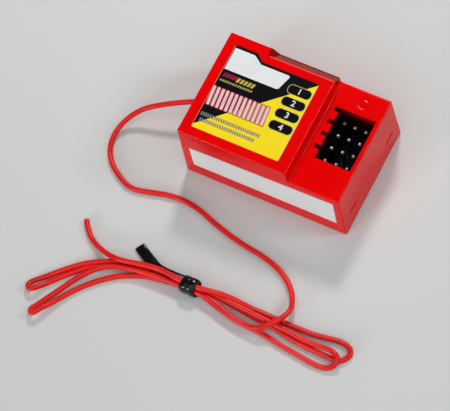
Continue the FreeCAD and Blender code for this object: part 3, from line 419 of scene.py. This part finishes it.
def mouldMaterial():
    material, tree, inputs = newMaterial("redMoulding", IOR=1.21)
    skin = useGroup(tree, mouldedSkin, Grain=4000.0, Flow=90.0, Gloss=mould["gloss"],
                    Gloss_Spread=0.04, Scuff=0.08)
    point = objectPoint(tree)

    def within(centre, half):
        away = vectorNode(tree, "SUBTRACT", point, [c * mm for c in centre])
        outside = vectorNode(tree, "SUBTRACT", vectorNode(tree, "ABSOLUTE", away), [c * mm for c in half])
        gaps = addNode(tree, "ShaderNodeSeparateXYZ", {"Vector": outside}).outputs
        gap = mathNode(tree, "MAXIMUM", mathNode(tree, "MAXIMUM", gaps["X"], gaps["Y"]), gaps["Z"])
        return spread(tree, gap, -mould["placeEdge"] * mm, mould["placeEdge"] * mm, 1.0, 0.0)

    # painted shade: the bay's inner faces are darkened towards the bay's floor
    bayFloor = mould["bayTop"] - mould["bayDepth"]
    depth = spread(tree, axisOf(tree, point, "Z"), mould["bayTop"] * mm, bayFloor * mm,
                   *mould["bayShade"])
    shade = mathNode(tree, "MULTIPLY", within(*mould["bay"]), depth)
    # painted shade on the notch's sloping face
    slope = mathNode(tree, "MULTIPLY", within(*mould["slope"]), mould["slopeMix"])
    # painted highlight along the top edge of the notch's sloping face
    wearAndHighlight = mathNode(tree, "MULTIPLY", within(*mould["wearAndHighlight"]), mould["edgeHighlightMix"])
    base = mixColour(tree, skin["Tone"], mould["deep"], mould["colour"])
    base = mixColour(tree, slope, base, mould["slopeTone"])
    base = mixColour(tree, wearAndHighlight, base, mould["edgeHighlightTone"])
    tree.links.new(mixColour(tree, shade, base, mould["bayShadeTone"]), inputs["Base Color"])
    dull = mathNode(tree, "MULTIPLY_ADD", shade, mould["bayDull"], skin["Roughness"])
    tree.links.new(dull, inputs["Roughness"])
    away = vectorNode(tree, "SUBTRACT", point, [c * mm for c in mould["ring"]])
    flat = vectorNode(tree, "LENGTH", vectorNode(tree, "MULTIPLY", away, (1.0, 1.0, 0.0)), out="Value")
    off = mathNode(tree, "DIVIDE", mathNode(tree, "SUBTRACT", flat, mould["ringRadius"] * mm),
                   mould["ringHalf"] * mm)
    dip = mathNode(tree, "SUBTRACT", 1.0, mathNode(tree, "MULTIPLY", off, off), clamp=True)
    ring = addNode(tree, "ShaderNodeBump",
                   {"Height": mathNode(tree, "MULTIPLY", dip, -mould["ringDip"] * mm),
                    "Strength": 1.0, "Distance": 1.0})
    grain = addNode(tree, "ShaderNodeBump", {"Height": skin["Height"], "Strength": mould["bump"],
                                             "Distance": skinDepth, "Normal": ring.outputs[0]})
    tree.links.new(grain.outputs[0], inputs["Normal"])
    return material


redMould = mouldMaterial()
wireJacket = plastic("wireJacket", (0.82, 0.012, 0.010), (0.66, 0.007, 0.007), gloss=0.30,
                     glossSpread=0.10, grain=5200.0, flow=210.0, scuff=0.15, bump=0.10, IOR=1.36)
tiePlastic = plastic("tiePlastic", (0.006, 0.006, 0.007), (0.003, 0.003, 0.004), gloss=0.13,
                     grain=2600.0, flow=420.0, scuff=0.1, bump=0.12, IOR=1.36)
labelFilm = labelMaterial()
boardLaminate = boardMaterial()
blackNylon = plastic("blackNylon", (0.004, 0.004, 0.0045), (0.002, 0.002, 0.0025), gloss=0.62,
                     grain=3600.0, scuff=0.05, bump=0.15, IOR=1.2)
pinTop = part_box("header_pins")[1].z / mm
# painted shade on the header pins, darkening downwards into the bay
pinShadeDepths = (pinTop - 0.5, pinTop - 1.3)   # where the pins begin to darken, and where they are dark
nodeFinish = {
    "top_cover": redMould, "bottom_cover": redMould, "top_label": labelFilm,
    "band_label": plastic("bandFilm", (0.84, 0.84, 0.84), (0.79, 0.79, 0.80), gloss=0.38,
                          grain=9000.0, flow=180.0, scuff=0.3, bump=0.04, Coat_Weight=0.15),
    "main_board": boardLaminate, "header_base": blackNylon,
    "header_pins": metal("pinPlating", (0.60, 0.53, 0.50), (0.42, 0.36, 0.30), gloss=0.42,
                         lines=5200.0, along=(1.0, 1.0, 0.08), fade=pinShadeDepths),
    "crystal_can": metal("crystalShell", (0.72, 0.72, 0.73), (0.50, 0.49, 0.47), gloss=0.28,
                         along=(1.0, 0.08, 1.0)),
    "crystal_sleeve": plastic("sleevePlastic", (0.70, 0.66, 0.58), (0.58, 0.54, 0.46), gloss=0.45),
    "crystal_pins": tinned("crystalPins", (0.74, 0.74, 0.74), (0.55, 0.53, 0.5)),
    "crystal_contacts": metal("contactPlating", (0.83, 0.66, 0.30), (0.55, 0.38, 0.16), gloss=0.26),
    "crystal_socket": plastic("socketNylon", (0.022, 0.022, 0.024), (0.014, 0.014, 0.015), gloss=0.48),
    "front_coil_can": coilShield("frontCoilShield", (0.74, 0.75, 0.76), (0.56, 0.56, 0.55), 0.30),
    "back_coil_can": coilShield("backCoilShield", (0.72, 0.73, 0.75), (0.54, 0.54, 0.54), 0.32),
    "aerial_coil_can": coilShield("aerialCoilShield", (0.75, 0.75, 0.76), (0.55, 0.55, 0.54), 0.29),
    "front_coil_core": ferrite("frontCore", (0.10, 0.085, 0.08), (0.07, 0.06, 0.055), 0.62),
    "back_coil_core": ferrite("backCore", (0.16, 0.04, 0.03), (0.11, 0.03, 0.02), 0.60),
    "aerial_coil_core": ferrite("aerialCore", (0.10, 0.09, 0.04), (0.07, 0.06, 0.03), 0.60),
    "receiver_chip": epoxy("receiverEpoxy", (0.026, 0.026, 0.027), (0.018, 0.018, 0.019), 0.55),
    "receiver_chip_leads": tinned("receiverLeads", (0.76, 0.76, 0.75), (0.56, 0.55, 0.52)),
    "decoder_chip": epoxy("decoderEpoxy", (0.024, 0.024, 0.026), (0.017, 0.017, 0.018), 0.52),
    "decoder_chip_leads": tinned("decoderLeads", (0.75, 0.75, 0.74), (0.55, 0.54, 0.51)),
    "ceramic_filter": plastic("filterResin", (0.50, 0.22, 0.06), (0.36, 0.14, 0.04), gloss=0.35,
                              flow=260.0, bump=0.2),
    "supply_capacitor": plastic("supplySleeve", (0.03, 0.05, 0.17), (0.02, 0.03, 0.11), gloss=0.26,
                                bump=0.08),
    "signal_capacitor": plastic("signalSleeve", (0.035, 0.05, 0.15), (0.02, 0.03, 0.10), gloss=0.28,
                                bump=0.08),
    "regulator": epoxy("regulatorEpoxy", (0.028, 0.028, 0.029), (0.02, 0.02, 0.02), 0.5),
    "regulator_legs": tinned("regulatorLegs", (0.76, 0.76, 0.75), (0.55, 0.54, 0.5)),
    "chip_resistors": plastic("resistorGlaze", (0.030, 0.030, 0.032), (0.02, 0.02, 0.022), gloss=0.3),
    "chip_capacitors": plastic("capacitorCeramic", (0.42, 0.33, 0.22), (0.34, 0.26, 0.17), gloss=0.5,
                               bump=0.2),
    "switching_transistors": epoxy("transistorEpoxy", (0.027, 0.027, 0.028), (0.02, 0.02, 0.02), 0.5),
    "antenna_root": wireJacket, "antenna_lead": wireJacket, "antenna_hank": wireJacket,
    "antenna_tail": wireJacket, "hank_tie": tiePlastic,
}
for nodeName, finish in nodeFinish.items():
    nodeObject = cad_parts[nodeName]
    if not nodeObject.material_slots:
        nodeObject.data.materials.append(None)
    for materialSlot in nodeObject.material_slots:
        materialSlot.material = finish
print("materials set on", len(nodeFinish), "CAD nodes")


# aerial wire: one smooth line from the case, through the hank, to its free end
wire = {
    "thick": 1.2, "length": 0.4485, "roundness": 4, "steps": 8,
    # out of the case, down to the floor and round to the hank
    "lead": [(-19.092, 0, 6.8), (-21.5, 0, 6.8), (-25.3, -1.8, 6.6), (-30.0, -4.0, 5.7),
             (-34.3, -6.2, 3.8), (-37.2, -10.2, 1.8), (-37.6, -14.6, 0.7), (-35.4, -18.4, 0.6),
             (-31.8, -20.9, 0.6), (-28.2, -22.4, 0.6), (-24.6, -21.6, 0.6), (-19.0, -20.1, 0.6),
             (-13.0, -20.4, 0.6), (-7.0, -22.5, 0.6), (-0.5, -24.1, 0.6), (6.0, -24.9, 0.6),
             (11.2, -26.7, 0.65), (14.7, -29.6, 1.15), (16.4, -32.6, 2.1)],
    # over the right-hand loops and back into the tie
    "crossing": [(16.7, -34.6, 2.8), (16.0, -36.5, 3.2), (14.8, -38.1, 3.2), (13.3, -39.6, 2.8),
                 (11.5, -40.6, 2.2), (9.2, -40.7, 1.9), (5.9, -40.2, 2.05), (3.3, -39.5, 2.2),
                 (0.5, -38.6, 2.25), (-1.6, -38.4, 2.15), (-2.6, -38.35, 2.1),
                 (-5.4, -38.35, 2.1), (-8.2, -38.35, 2.1)],
    # lower left loop, out and back
    "lowerLeft": [(-12, -38.5, 2.1), (-16.5, -38.9, 1.95), (-21.4, -39.6, 1.75),
                  (-24.76, -41.07, 1.6), (-27.45, -43.73, 1.2), (-29.17, -45.92, 0.8),
                  (-30.83, -48.76, 0.6), (-32.15, -51.2, 0.6), (-33.25, -53.2, 0.6),
                  (-34.05, -54.6, 0.65), (-34.6, -55.5, 0.78), (-34.5, -56.36, 1.08),
                  (-33.83, -56.76, 1.71), (-32.98, -56.34, 2.11), (-32.32, -55.1, 2.11),
                  (-31.38, -53.68, 1.6), (-30.24, -51.4, 1.0), (-28.09, -48.02, 0.65),
                  (-25.58, -45.15, 0.6), (-22.6, -42.55, 0.6), (-20.6, -41.2, 0.6),
                  (-18.74, -40.33, 0.7), (-15.9, -39.2, 0.85), (-12.4, -38.6, 0.95),
                  (-8.2, -38.01, 1.1), (-5.4, -38.01, 1.1), (-2.6, -38.01, 1.1)],
    # inner right loop, out and back
    "innerRight": [(1.4, -39.1, 1.05), (4.8, -39.9, 0.9), (8, -40.3, 0.7), (11, -40.3, 0.6),
                   (15, -40.8, 0.6), (17.4, -41.2, 0.6), (20.6, -41.5, 0.6), (22.9, -41.8, 0.6),
                   (25.3, -42.1, 0.6), (27.6, -42.1, 0.6), (28.9, -41.8, 0.6), (29.9, -41.1, 0.9),
                   (30.4, -40.1, 1.5), (30.1, -39.1, 1.8), (29.1, -38.5, 1.8), (27.7, -38.2, 1.6),
                   (25, -38.4, 1.4), (22.1, -38.4, 1.4), (18.2, -38.1, 1.5), (14.4, -37.9, 1.7),
                   (10, -37.6, 1.7), (6, -37.4, 1.8), (1, -37.4, 1.95), (-2.6, -37.19, 2.1),
                   (-5.4, -37.19, 2.1), (-8.2, -37.19, 2.1)],
    # upper left loop, out and back
    "upperLeft": [(-11, -37.05, 2.0), (-14, -36.85, 1.7), (-18.3, -37.3, 1.6), (-23.9, -39.25, 1.4),
                  (-28.45, -41.4, 0.8), (-30.85, -43.3, 0.6), (-33.2, -45.6, 0.6),
                  (-35.25, -47.8, 0.6), (-36.7, -49.2, 0.6), (-37.75, -50.3, 0.7),
                  (-37.89, -51.34, 0.97), (-37.21, -51.98, 1.48), (-36.22, -51.83, 1.79),
                  (-35.32, -50.76, 1.54), (-34.27, -49.13, 0.85), (-32.25, -46.62, 0.6),
                  (-30.0, -44.2, 0.6), (-27.7, -42.1, 0.6), (-23.9, -39.95, 0.6),
                  (-18.46, -37.9, 0.6), (-14, -37.4, 0.7), (-8.2, -36.85, 1.1),
                  (-5.4, -36.85, 1.1), (-2.6, -36.85, 1.1)],
    # outer right loop, out and back over the top
    "outerRight": [(1, -37.1, 0.9), (6, -37.6, 0.7), (10.5, -38.0, 0.6), (14.5, -38.3, 0.6),
                   (17.8, -38.9, 0.6), (20.9, -39.2, 0.6), (24, -39.4, 0.6), (27, -39.5, 0.6),
                   (29.7, -39.5, 0.6), (30.6, -39.4, 0.6), (31.6, -38.4, 0.6), (32.0, -37.1, 0.6),
                   (31.5, -36.1, 0.6), (30.2, -35.5, 0.6), (28.7, -35.4, 0.6), (26.6, -35.7, 0.6),
                   (23.8, -36.2, 0.6), (21, -36.4, 0.6), (18.8, -36.4, 0.6), (15, -36.4, 0.6),
                   (12.8, -36.4, 0.6), (10.5, -36.4, 0.8), (7.8, -36.5, 1.0), (4.0, -36.4, 2.0),
                   (0.5, -36.95, 3.0), (-2.6, -37.6, 3.15), (-5.4, -37.6, 3.15),
                   (-8.2, -37.6, 3.15)],
    # free end, along the top of the hank and off its back
    "tail": [(-10.5, -37.3, 3.1), (-13.3, -37.1, 2.9), (-18.06, -37.9, 2.8), (-20.2, -38.4, 2.8),
             (-23.2, -38.7, 2.6), (-26.2, -38.0, 1.7), (-29.4, -36.8, 0.6), (-31.9, -35.0, 0.6),
             (-33.6, -32.7, 0.6)],
}


def layWire():
    curve = bpy.data.curves.new("antenna_wire", "CURVE")
    curve.dimensions = "3D"
    curve.bevel_depth = wire["thick"] * mm / 2
    curve.bevel_resolution = wire["roundness"]
    curve.use_fill_caps = True
    curve.resolution_u = wire["steps"]
    points = []
    for stretch in ("lead", "crossing", "lowerLeft", "innerRight", "upperLeft", "outerRight", "tail"):
        points += wire[stretch]
    spline = curve.splines.new("NURBS")
    spline.points.add(len(points) - 1)
    for target, point in zip(spline.points, points):
        target.co = (point[0] * mm, point[1] * mm, point[2] * mm, 1.0)
    spline.order_u = 3
    spline.use_endpoint_u = True
    spline.use_smooth = True
    made = bpy.data.objects.new("antenna_wire", curve)
    bpy.context.scene.collection.objects.link(made)
    made.data.materials.append(wireJacket)
    return made


# plastic tie: two flat wraps round the hank, and the free end, in mm
tie = {
    "width": 2.0, "thick": 0.62, "sides": 12, "crown": 0.7,
    "middle": (-37.6, 2.08), "half": (1.56, 1.80), "square": 2.6, "turn": 44, "waver": 0.10,
    "wraps": [(-6.2, 0.07, 1.0), (-4.5, -0.07, 1.02)],   # place along the hank, lean, size
    "endWider": 1.2, "endThinner": 0.8, "endSteps": 5,
    # the free end's middle points, each with the way across the strip
    "freeEnd": [((-6.6, -35.95, 1.9), (0.1, -0.3, 0.92)), ((-8.8, -35.95, 1.5), (0.1, -0.33, 0.9)),
                ((-11.2, -35.95, 1.3), (0.2, -0.25, 0.92)), ((-13.4, -36.1, 1.25), (0.4, 0.2, 0.88)),
                ((-15.1, -35.95, 1.05), (0.54, 0.7, 0.5)), ((-16.7, -35.25, 0.65), (0.54, 0.83, 0.12)),
                ((-18.4, -34.35, 0.4), (0.55, 0.84, 0.0)), ((-20.2, -33.35, 0.36), (0.55, 0.84, 0.0))],
}


def swell(value, power):
    return math.copysign(abs(value) ** power, value)


def addStrip(shape, stations, width, thick, closed=False):
    # stations hold a middle point, the way across the strip and the way through it; the
    # profile is a flat band with crowned faces and rounded edges
    profile = []
    for step in range(tie["sides"]):
        angle = 2 * math.pi * (step + 0.5) / tie["sides"]
        profile.append((width / 2 * swell(math.cos(angle), tie["crown"]),
                        thick / 2 * swell(math.sin(angle), tie["crown"])))
    rings = []
    for middle, wide, out in stations:
        rings.append([shape.verts.new((Vector(middle) + wide * a + out * b) * mm) for a, b in profile])
    count = len(rings)
    for index in range(count if closed else count - 1):
        here, there = rings[index], rings[(index + 1) % count]
        for side in range(len(profile)):
            after = (side + 1) % len(profile)
            shape.faces.new((here[side], here[after], there[after], there[side]))
    if not closed:
        shape.faces.new(list(reversed(rings[0])))
        shape.faces.new(rings[-1])


def wrapStations(place, lean, size):
    stations = []
    middleY, middleZ = tie["middle"]
    halfY, halfZ = tie["half"]
    power = 2 / tie["square"]
    wide = Vector((1, 0, lean)).normalized()
    for step in range(tie["turn"]):
        angle = 2 * math.pi * step / tie["turn"]
        c, s = math.cos(angle), math.sin(angle)
        y = middleY + size * halfY * swell(c, power)
        z = max(tie["thick"] / 2, middleZ + size * halfZ * swell(s, power))
        x = place + lean * (z - middleZ) + tie["waver"] * math.sin(2 * angle)
        out = Vector((0, c / halfY, s / halfZ)).normalized()
        out = (out - wide * out.dot(wide)).normalized()
        stations.append(((x, y, z), wide, out))
    return stations


def pathStations(path, steps):
    # a smooth line through the points of the path, which hold the way across the strip too
    points = [Vector(p) for p, way in path]
    ways = [Vector(way).normalized() for p, way in path]
    stations = []
    last = len(points) - 1
    for index in range(last):
        before = points[max(0, index - 1)]
        after = points[min(last, index + 2)]
        for step in range(steps + (index == last - 1)):
            t = step / steps
            a, b, c, d = before, points[index], points[index + 1], after
            middle = 0.5 * ((2 * b) + (c - a) * t + (2 * a - 5 * b + 4 * c - d) * t * t
                            + (3 * b - a - 3 * c + d) * t ** 3)
            heading = (0.5 * ((c - a) + 2 * (2 * a - 5 * b + 4 * c - d) * t
                              + 3 * (3 * b - a - 3 * c + d) * t * t)).normalized()
            wide = ways[index].lerp(ways[index + 1], t)
            wide = (wide - heading * wide.dot(heading)).normalized()
            stations.append((tuple(middle), wide, heading.cross(wide).normalized()))
    return stations


def meshObject(name, shape, material, smooth=True):
    bmesh.ops.recalc_face_normals(shape, faces=shape.faces)
    mesh = bpy.data.meshes.new(name)
    shape.to_mesh(mesh)
    shape.free()
    for face in mesh.polygons:
        face.use_smooth = smooth
    made = bpy.data.objects.new(name, mesh)
    bpy.context.scene.collection.objects.link(made)
    mesh.materials.append(material)
    return made


def finishModifiers(made):
    # turns a piece with live modifiers into its plain mesh
    graph = bpy.context.evaluated_depsgraph_get()
    mesh = bpy.data.meshes.new_from_object(made.evaluated_get(graph))
    made.modifiers.clear()
    made.data = mesh
    return made


def makeTie():
    shape = bmesh.new()
    for place, lean, size in tie["wraps"]:
        addStrip(shape, wrapStations(place, lean, size), tie["width"], tie["thick"], closed=True)
    addStrip(shape, pathStations(tie["freeEnd"], tie["endSteps"]),
             tie["width"] * tie["endWider"], tie["thick"] * tie["endThinner"])
    made = meshObject("hank_tie_strip", shape, tiePlastic)
    smoothing = made.modifiers.new("round", "SUBSURF")
    smoothing.levels = smoothing.render_levels = 1
    return finishModifiers(made)


antennaWire = layWire()
hankTie = makeTie()
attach(antennaWire, "root")
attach(hankTie, "root")
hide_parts("antenna_lead", "antenna_hank", "antenna_tail")
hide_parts("hank_tie")
print("aerial and tie made")


# numerals in the label's pills, in mm
numerals = {"size": 1.9, "thick": 0.012, "lift": 18.95, "weight": 0.035, "curve": 3, "merge": 0.0001}


def makeNumerals():
    shape = bmesh.new()
    height = numerals["lift"] + numerals["thick"] / 2
    for row in range(label["pills"]):
        text = bpy.data.curves.new("numeral", "FONT")
        text.body = str(row + 1)
        text.size = numerals["size"] * mm
        text.offset = numerals["weight"] * mm
        text.extrude = numerals["thick"] * mm / 2
        text.resolution_u = numerals["curve"]
        text.align_x = "CENTER"
        text.align_y = "CENTER"
        holder = bpy.data.objects.new("numeral", text)
        bpy.context.scene.collection.objects.link(holder)
        graph = bpy.context.evaluated_depsgraph_get()
        mesh = bpy.data.meshes.new_from_object(holder.evaluated_get(graph))
        y = label["pillTop"] - row * label["pillPitch"]
        mesh.transform(Matrix.Translation(Vector((label["pillX"], y, height)) * mm))
        shape.from_mesh(mesh)
        bpy.data.objects.remove(holder)
        bpy.data.meshes.remove(mesh)
    bmesh.ops.remove_doubles(shape, verts=shape.verts, dist=numerals["merge"] * mm)
    return meshObject("label_numerals", shape, numeralInk, smooth=False)


numeralInk = plastic("numeralInk", (0.70, 0.70, 0.66), (0.62, 0.62, 0.58), gloss=0.4, bump=0.03)
labelNumerals = makeNumerals()
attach(labelNumerals, "root")


# solder collars under the board, one round each header pin, in mm
solder = {"columns": 3, "rows": 4, "across": 2.54, "down": 3.1, "radius": 0.62, "height": 0.55,
          "tip": 0.3, "sides": 14, "rings": 3, "sizes": (0.9, 1.1), "seed": 4}


def collarInputs():
    return (("Columns", "NodeSocketInt", solder["columns"]),
            ("Rows", "NodeSocketInt", solder["rows"]),
            ("Width", "NodeSocketFloat", solder["across"] * (solder["columns"] - 1) * mm),
            ("Depth", "NodeSocketFloat", solder["down"] * (solder["rows"] - 1) * mm),
            ("Radius", "NodeSocketFloat", solder["radius"] * mm),
            ("Height", "NodeSocketFloat", solder["height"] * mm),
            ("Seed", "NodeSocketInt", solder["seed"]))


def collarTree(material):
    tree = bpy.data.node_groups.new("solderCollars", "GeometryNodeTree")
    for name, kind, value in collarInputs():
        tree.interface.new_socket(name=name, in_out="INPUT", socket_type=kind).default_value = value
    tree.interface.new_socket(name="Geometry", in_out="OUTPUT", socket_type="NodeSocketGeometry")
    entry = tree.nodes.new("NodeGroupInput").outputs
    leave = tree.nodes.new("NodeGroupOutput").inputs
    grid = addNode(tree, "GeometryNodeMeshGrid",
                   {"Vertices X": entry["Columns"], "Vertices Y": entry["Rows"],
                    "Size X": entry["Width"], "Size Y": entry["Depth"]})
    cone = addNode(tree, "GeometryNodeMeshCone",
                   {"Vertices": solder["sides"], "Side Segments": solder["rings"],
                    "Radius Top": solder["tip"] * mm, "Radius Bottom": entry["Radius"],
                    "Depth": entry["Height"]})
    size = addNode(tree, "FunctionNodeRandomValue", {"Seed": entry["Seed"]}, data_type="FLOAT")
    for socket, value in zip(("Min", "Max"), solder["sizes"]):
        for one in size.inputs:
            if one.name == socket and one.type == "VALUE":
                one.default_value = value
    drawn = next(one for one in size.outputs if one.type == "VALUE")
    placed = addNode(tree, "GeometryNodeInstanceOnPoints",
                     {"Points": grid.outputs["Mesh"], "Instance": cone.outputs["Mesh"], "Scale": drawn,
                      "Rotation": (math.pi, 0, 0)})
    real = addNode(tree, "GeometryNodeRealizeInstances", {"Geometry": placed.outputs[0]})
    dressed = addNode(tree, "GeometryNodeSetMaterial",
                      {"Geometry": real.outputs[0], "Material": material})
    tree.links.new(dressed.outputs[0], leave["Geometry"])
    return tree


def makeCollars():
    material = metal("solderAlloy", (0.68, 0.68, 0.69), (0.48, 0.48, 0.47), gloss=0.3, lines=3000.0)
    holder = meshObject("header_solder", bmesh.new(), material)
    tree = collarTree(material)
    collars = holder.modifiers.new("collars", "NODES")
    collars.node_group = tree
    values = {name: value for name, kind, value in collarInputs()}
    for item in tree.interface.items_tree:
        if item.in_out == "INPUT" and item.name in values:
            collars[item.identifier] = values[item.name]
    finishModifiers(holder)
    low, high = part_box("header_pins")
    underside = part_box("main_board")[0].z
    holder.data.transform(Matrix.Translation(((low.x + high.x) / 2, (low.y + high.y) / 2, underside)))
    return holder


headerSolder = makeCollars()
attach(headerSolder, "root")
print("numerals and solder made")


# floor, light and camera, in metres
studio = {
    "floor": (0.636, 0.640, 0.634), "floorSize": 6.0, "floorDrop": 0.00002, "floorRough": 0.7,
    "floorShine": 0.2, "mottle": 14.0, "mottleShow": 0.015,
    "key": {"toward": (-0.157, 0.577, 0.80), "distance": 0.312, "size": 0.05, "power": 0.40,
            "tint": (1.0, 0.95, 0.92)},
    "fills": [{"toward": (0.22, -0.40, 0.89), "distance": 1.0, "size": 1.4, "power": 6.0,
               "tint": (0.92, 0.99, 1.0)},
              {"toward": (-0.32, -0.90, 0.28), "distance": 1.0, "size": 0.26, "power": 2.8,
               "tint": (0.93, 1.0, 1.0)},
              {"toward": (0.68, 0.30, 0.62), "distance": 1.0, "size": 0.23, "power": 1.8,
               "tint": (0.93, 1.0, 1.0)}],
    "zenith": 0.03, "horizon": 0.42, "sky": (0.15, 0.85),   # light above and level, and its fade
}


def makeFloor():
    shape = bmesh.new()
    bmesh.ops.create_grid(shape, x_segments=1, y_segments=1, size=studio["floorSize"] / 2)
    bmesh.ops.translate(shape, verts=shape.verts, vec=(0, 0, -studio["floorDrop"]))
    material, tree, inputs = newMaterial("studioFloor", Roughness=studio["floorRough"],
                                         Specular_IOR_Level=studio["floorShine"])
    mottle = noise(tree, objectPoint(tree), studio["mottle"])
    darker = [c * (1 - studio["mottleShow"]) for c in studio["floor"]]
    paler = [c * (1 + studio["mottleShow"]) for c in studio["floor"]]
    tree.links.new(mixColour(tree, mottle, darker, paler), inputs["Base Color"])
    return meshObject("studio_floor", shape, material, smooth=False)


def addLamp(name, spec):
    way = Vector(spec["toward"]).normalized()
    lamp = bpy.data.lights.new(name, "AREA")
    lamp.shape = "DISK"
    lamp.size = spec["size"]
    lamp.energy = spec["power"]
    lamp.color = spec["tint"]
    holder = bpy.data.objects.new(name, lamp)
    bpy.context.scene.collection.objects.link(holder)
    turned = way.to_track_quat("Z", "Y").to_matrix().to_4x4()
    holder.matrix_world = Matrix.Translation(way * spec["distance"]) @ turned


def makeWorld():
    world = bpy.data.worlds.new("studioWorld")
    bpy.context.scene.world = world
    world.use_nodes = True
    tree = world.node_tree
    tree.nodes.clear()
    out = tree.nodes.new("ShaderNodeOutputWorld")
    way = addNode(tree, "ShaderNodeTexCoord").outputs["Generated"]
    level = spread(tree, axisOf(tree, way, "Z"), *studio["sky"], studio["horizon"], studio["zenith"])
    glow = addNode(tree, "ShaderNodeBackground", {"Color": (1, 1, 1, 1), "Strength": level})
    tree.links.new(glow.outputs[0], out.inputs["Surface"])


# the photograph's view: turn, lift and roll in radians, the place in metres, the lens in mm
view = {"turn": 0.791546729, "lift": 1.12385119, "roll": -0.34482833,
        "place": (0.16293, -0.18606, 0.50062), "near": 0.01, "lens": 208.0, "sensor": 36.0}


def addCamera():
    a, e, t = view["turn"], view["lift"], view["roll"]
    ahead = Vector((-math.sin(a) * math.cos(e), math.cos(a) * math.cos(e), -math.sin(e)))
    level = Vector((math.cos(a), math.sin(a), 0))
    top = level.cross(ahead)
    right = level * math.cos(t) + top * math.sin(t)
    up = top * math.cos(t) - level * math.sin(t)
    data = bpy.data.cameras.new("photoCamera")
    data.lens = view["lens"]
    data.sensor_width = view["sensor"]
    data.clip_start = view["near"]
    holder = bpy.data.objects.new("photoCamera", data)
    bpy.context.scene.collection.objects.link(holder)
    turned = Matrix((right, up, -ahead)).transposed().to_4x4()
    holder.matrix_world = Matrix.Translation(view["place"]) @ turned
    bpy.context.scene.camera = holder


floor = makeFloor()
addLamp("keyLamp", studio["key"])
for number, fill in enumerate(studio["fills"]):
    addLamp("fillLamp%d" % (number + 1), fill)
makeWorld()
addCamera()
bpy.context.scene.view_settings.view_transform = "Standard"

bpy.context.view_layer.update()
print("floor, light and camera set")
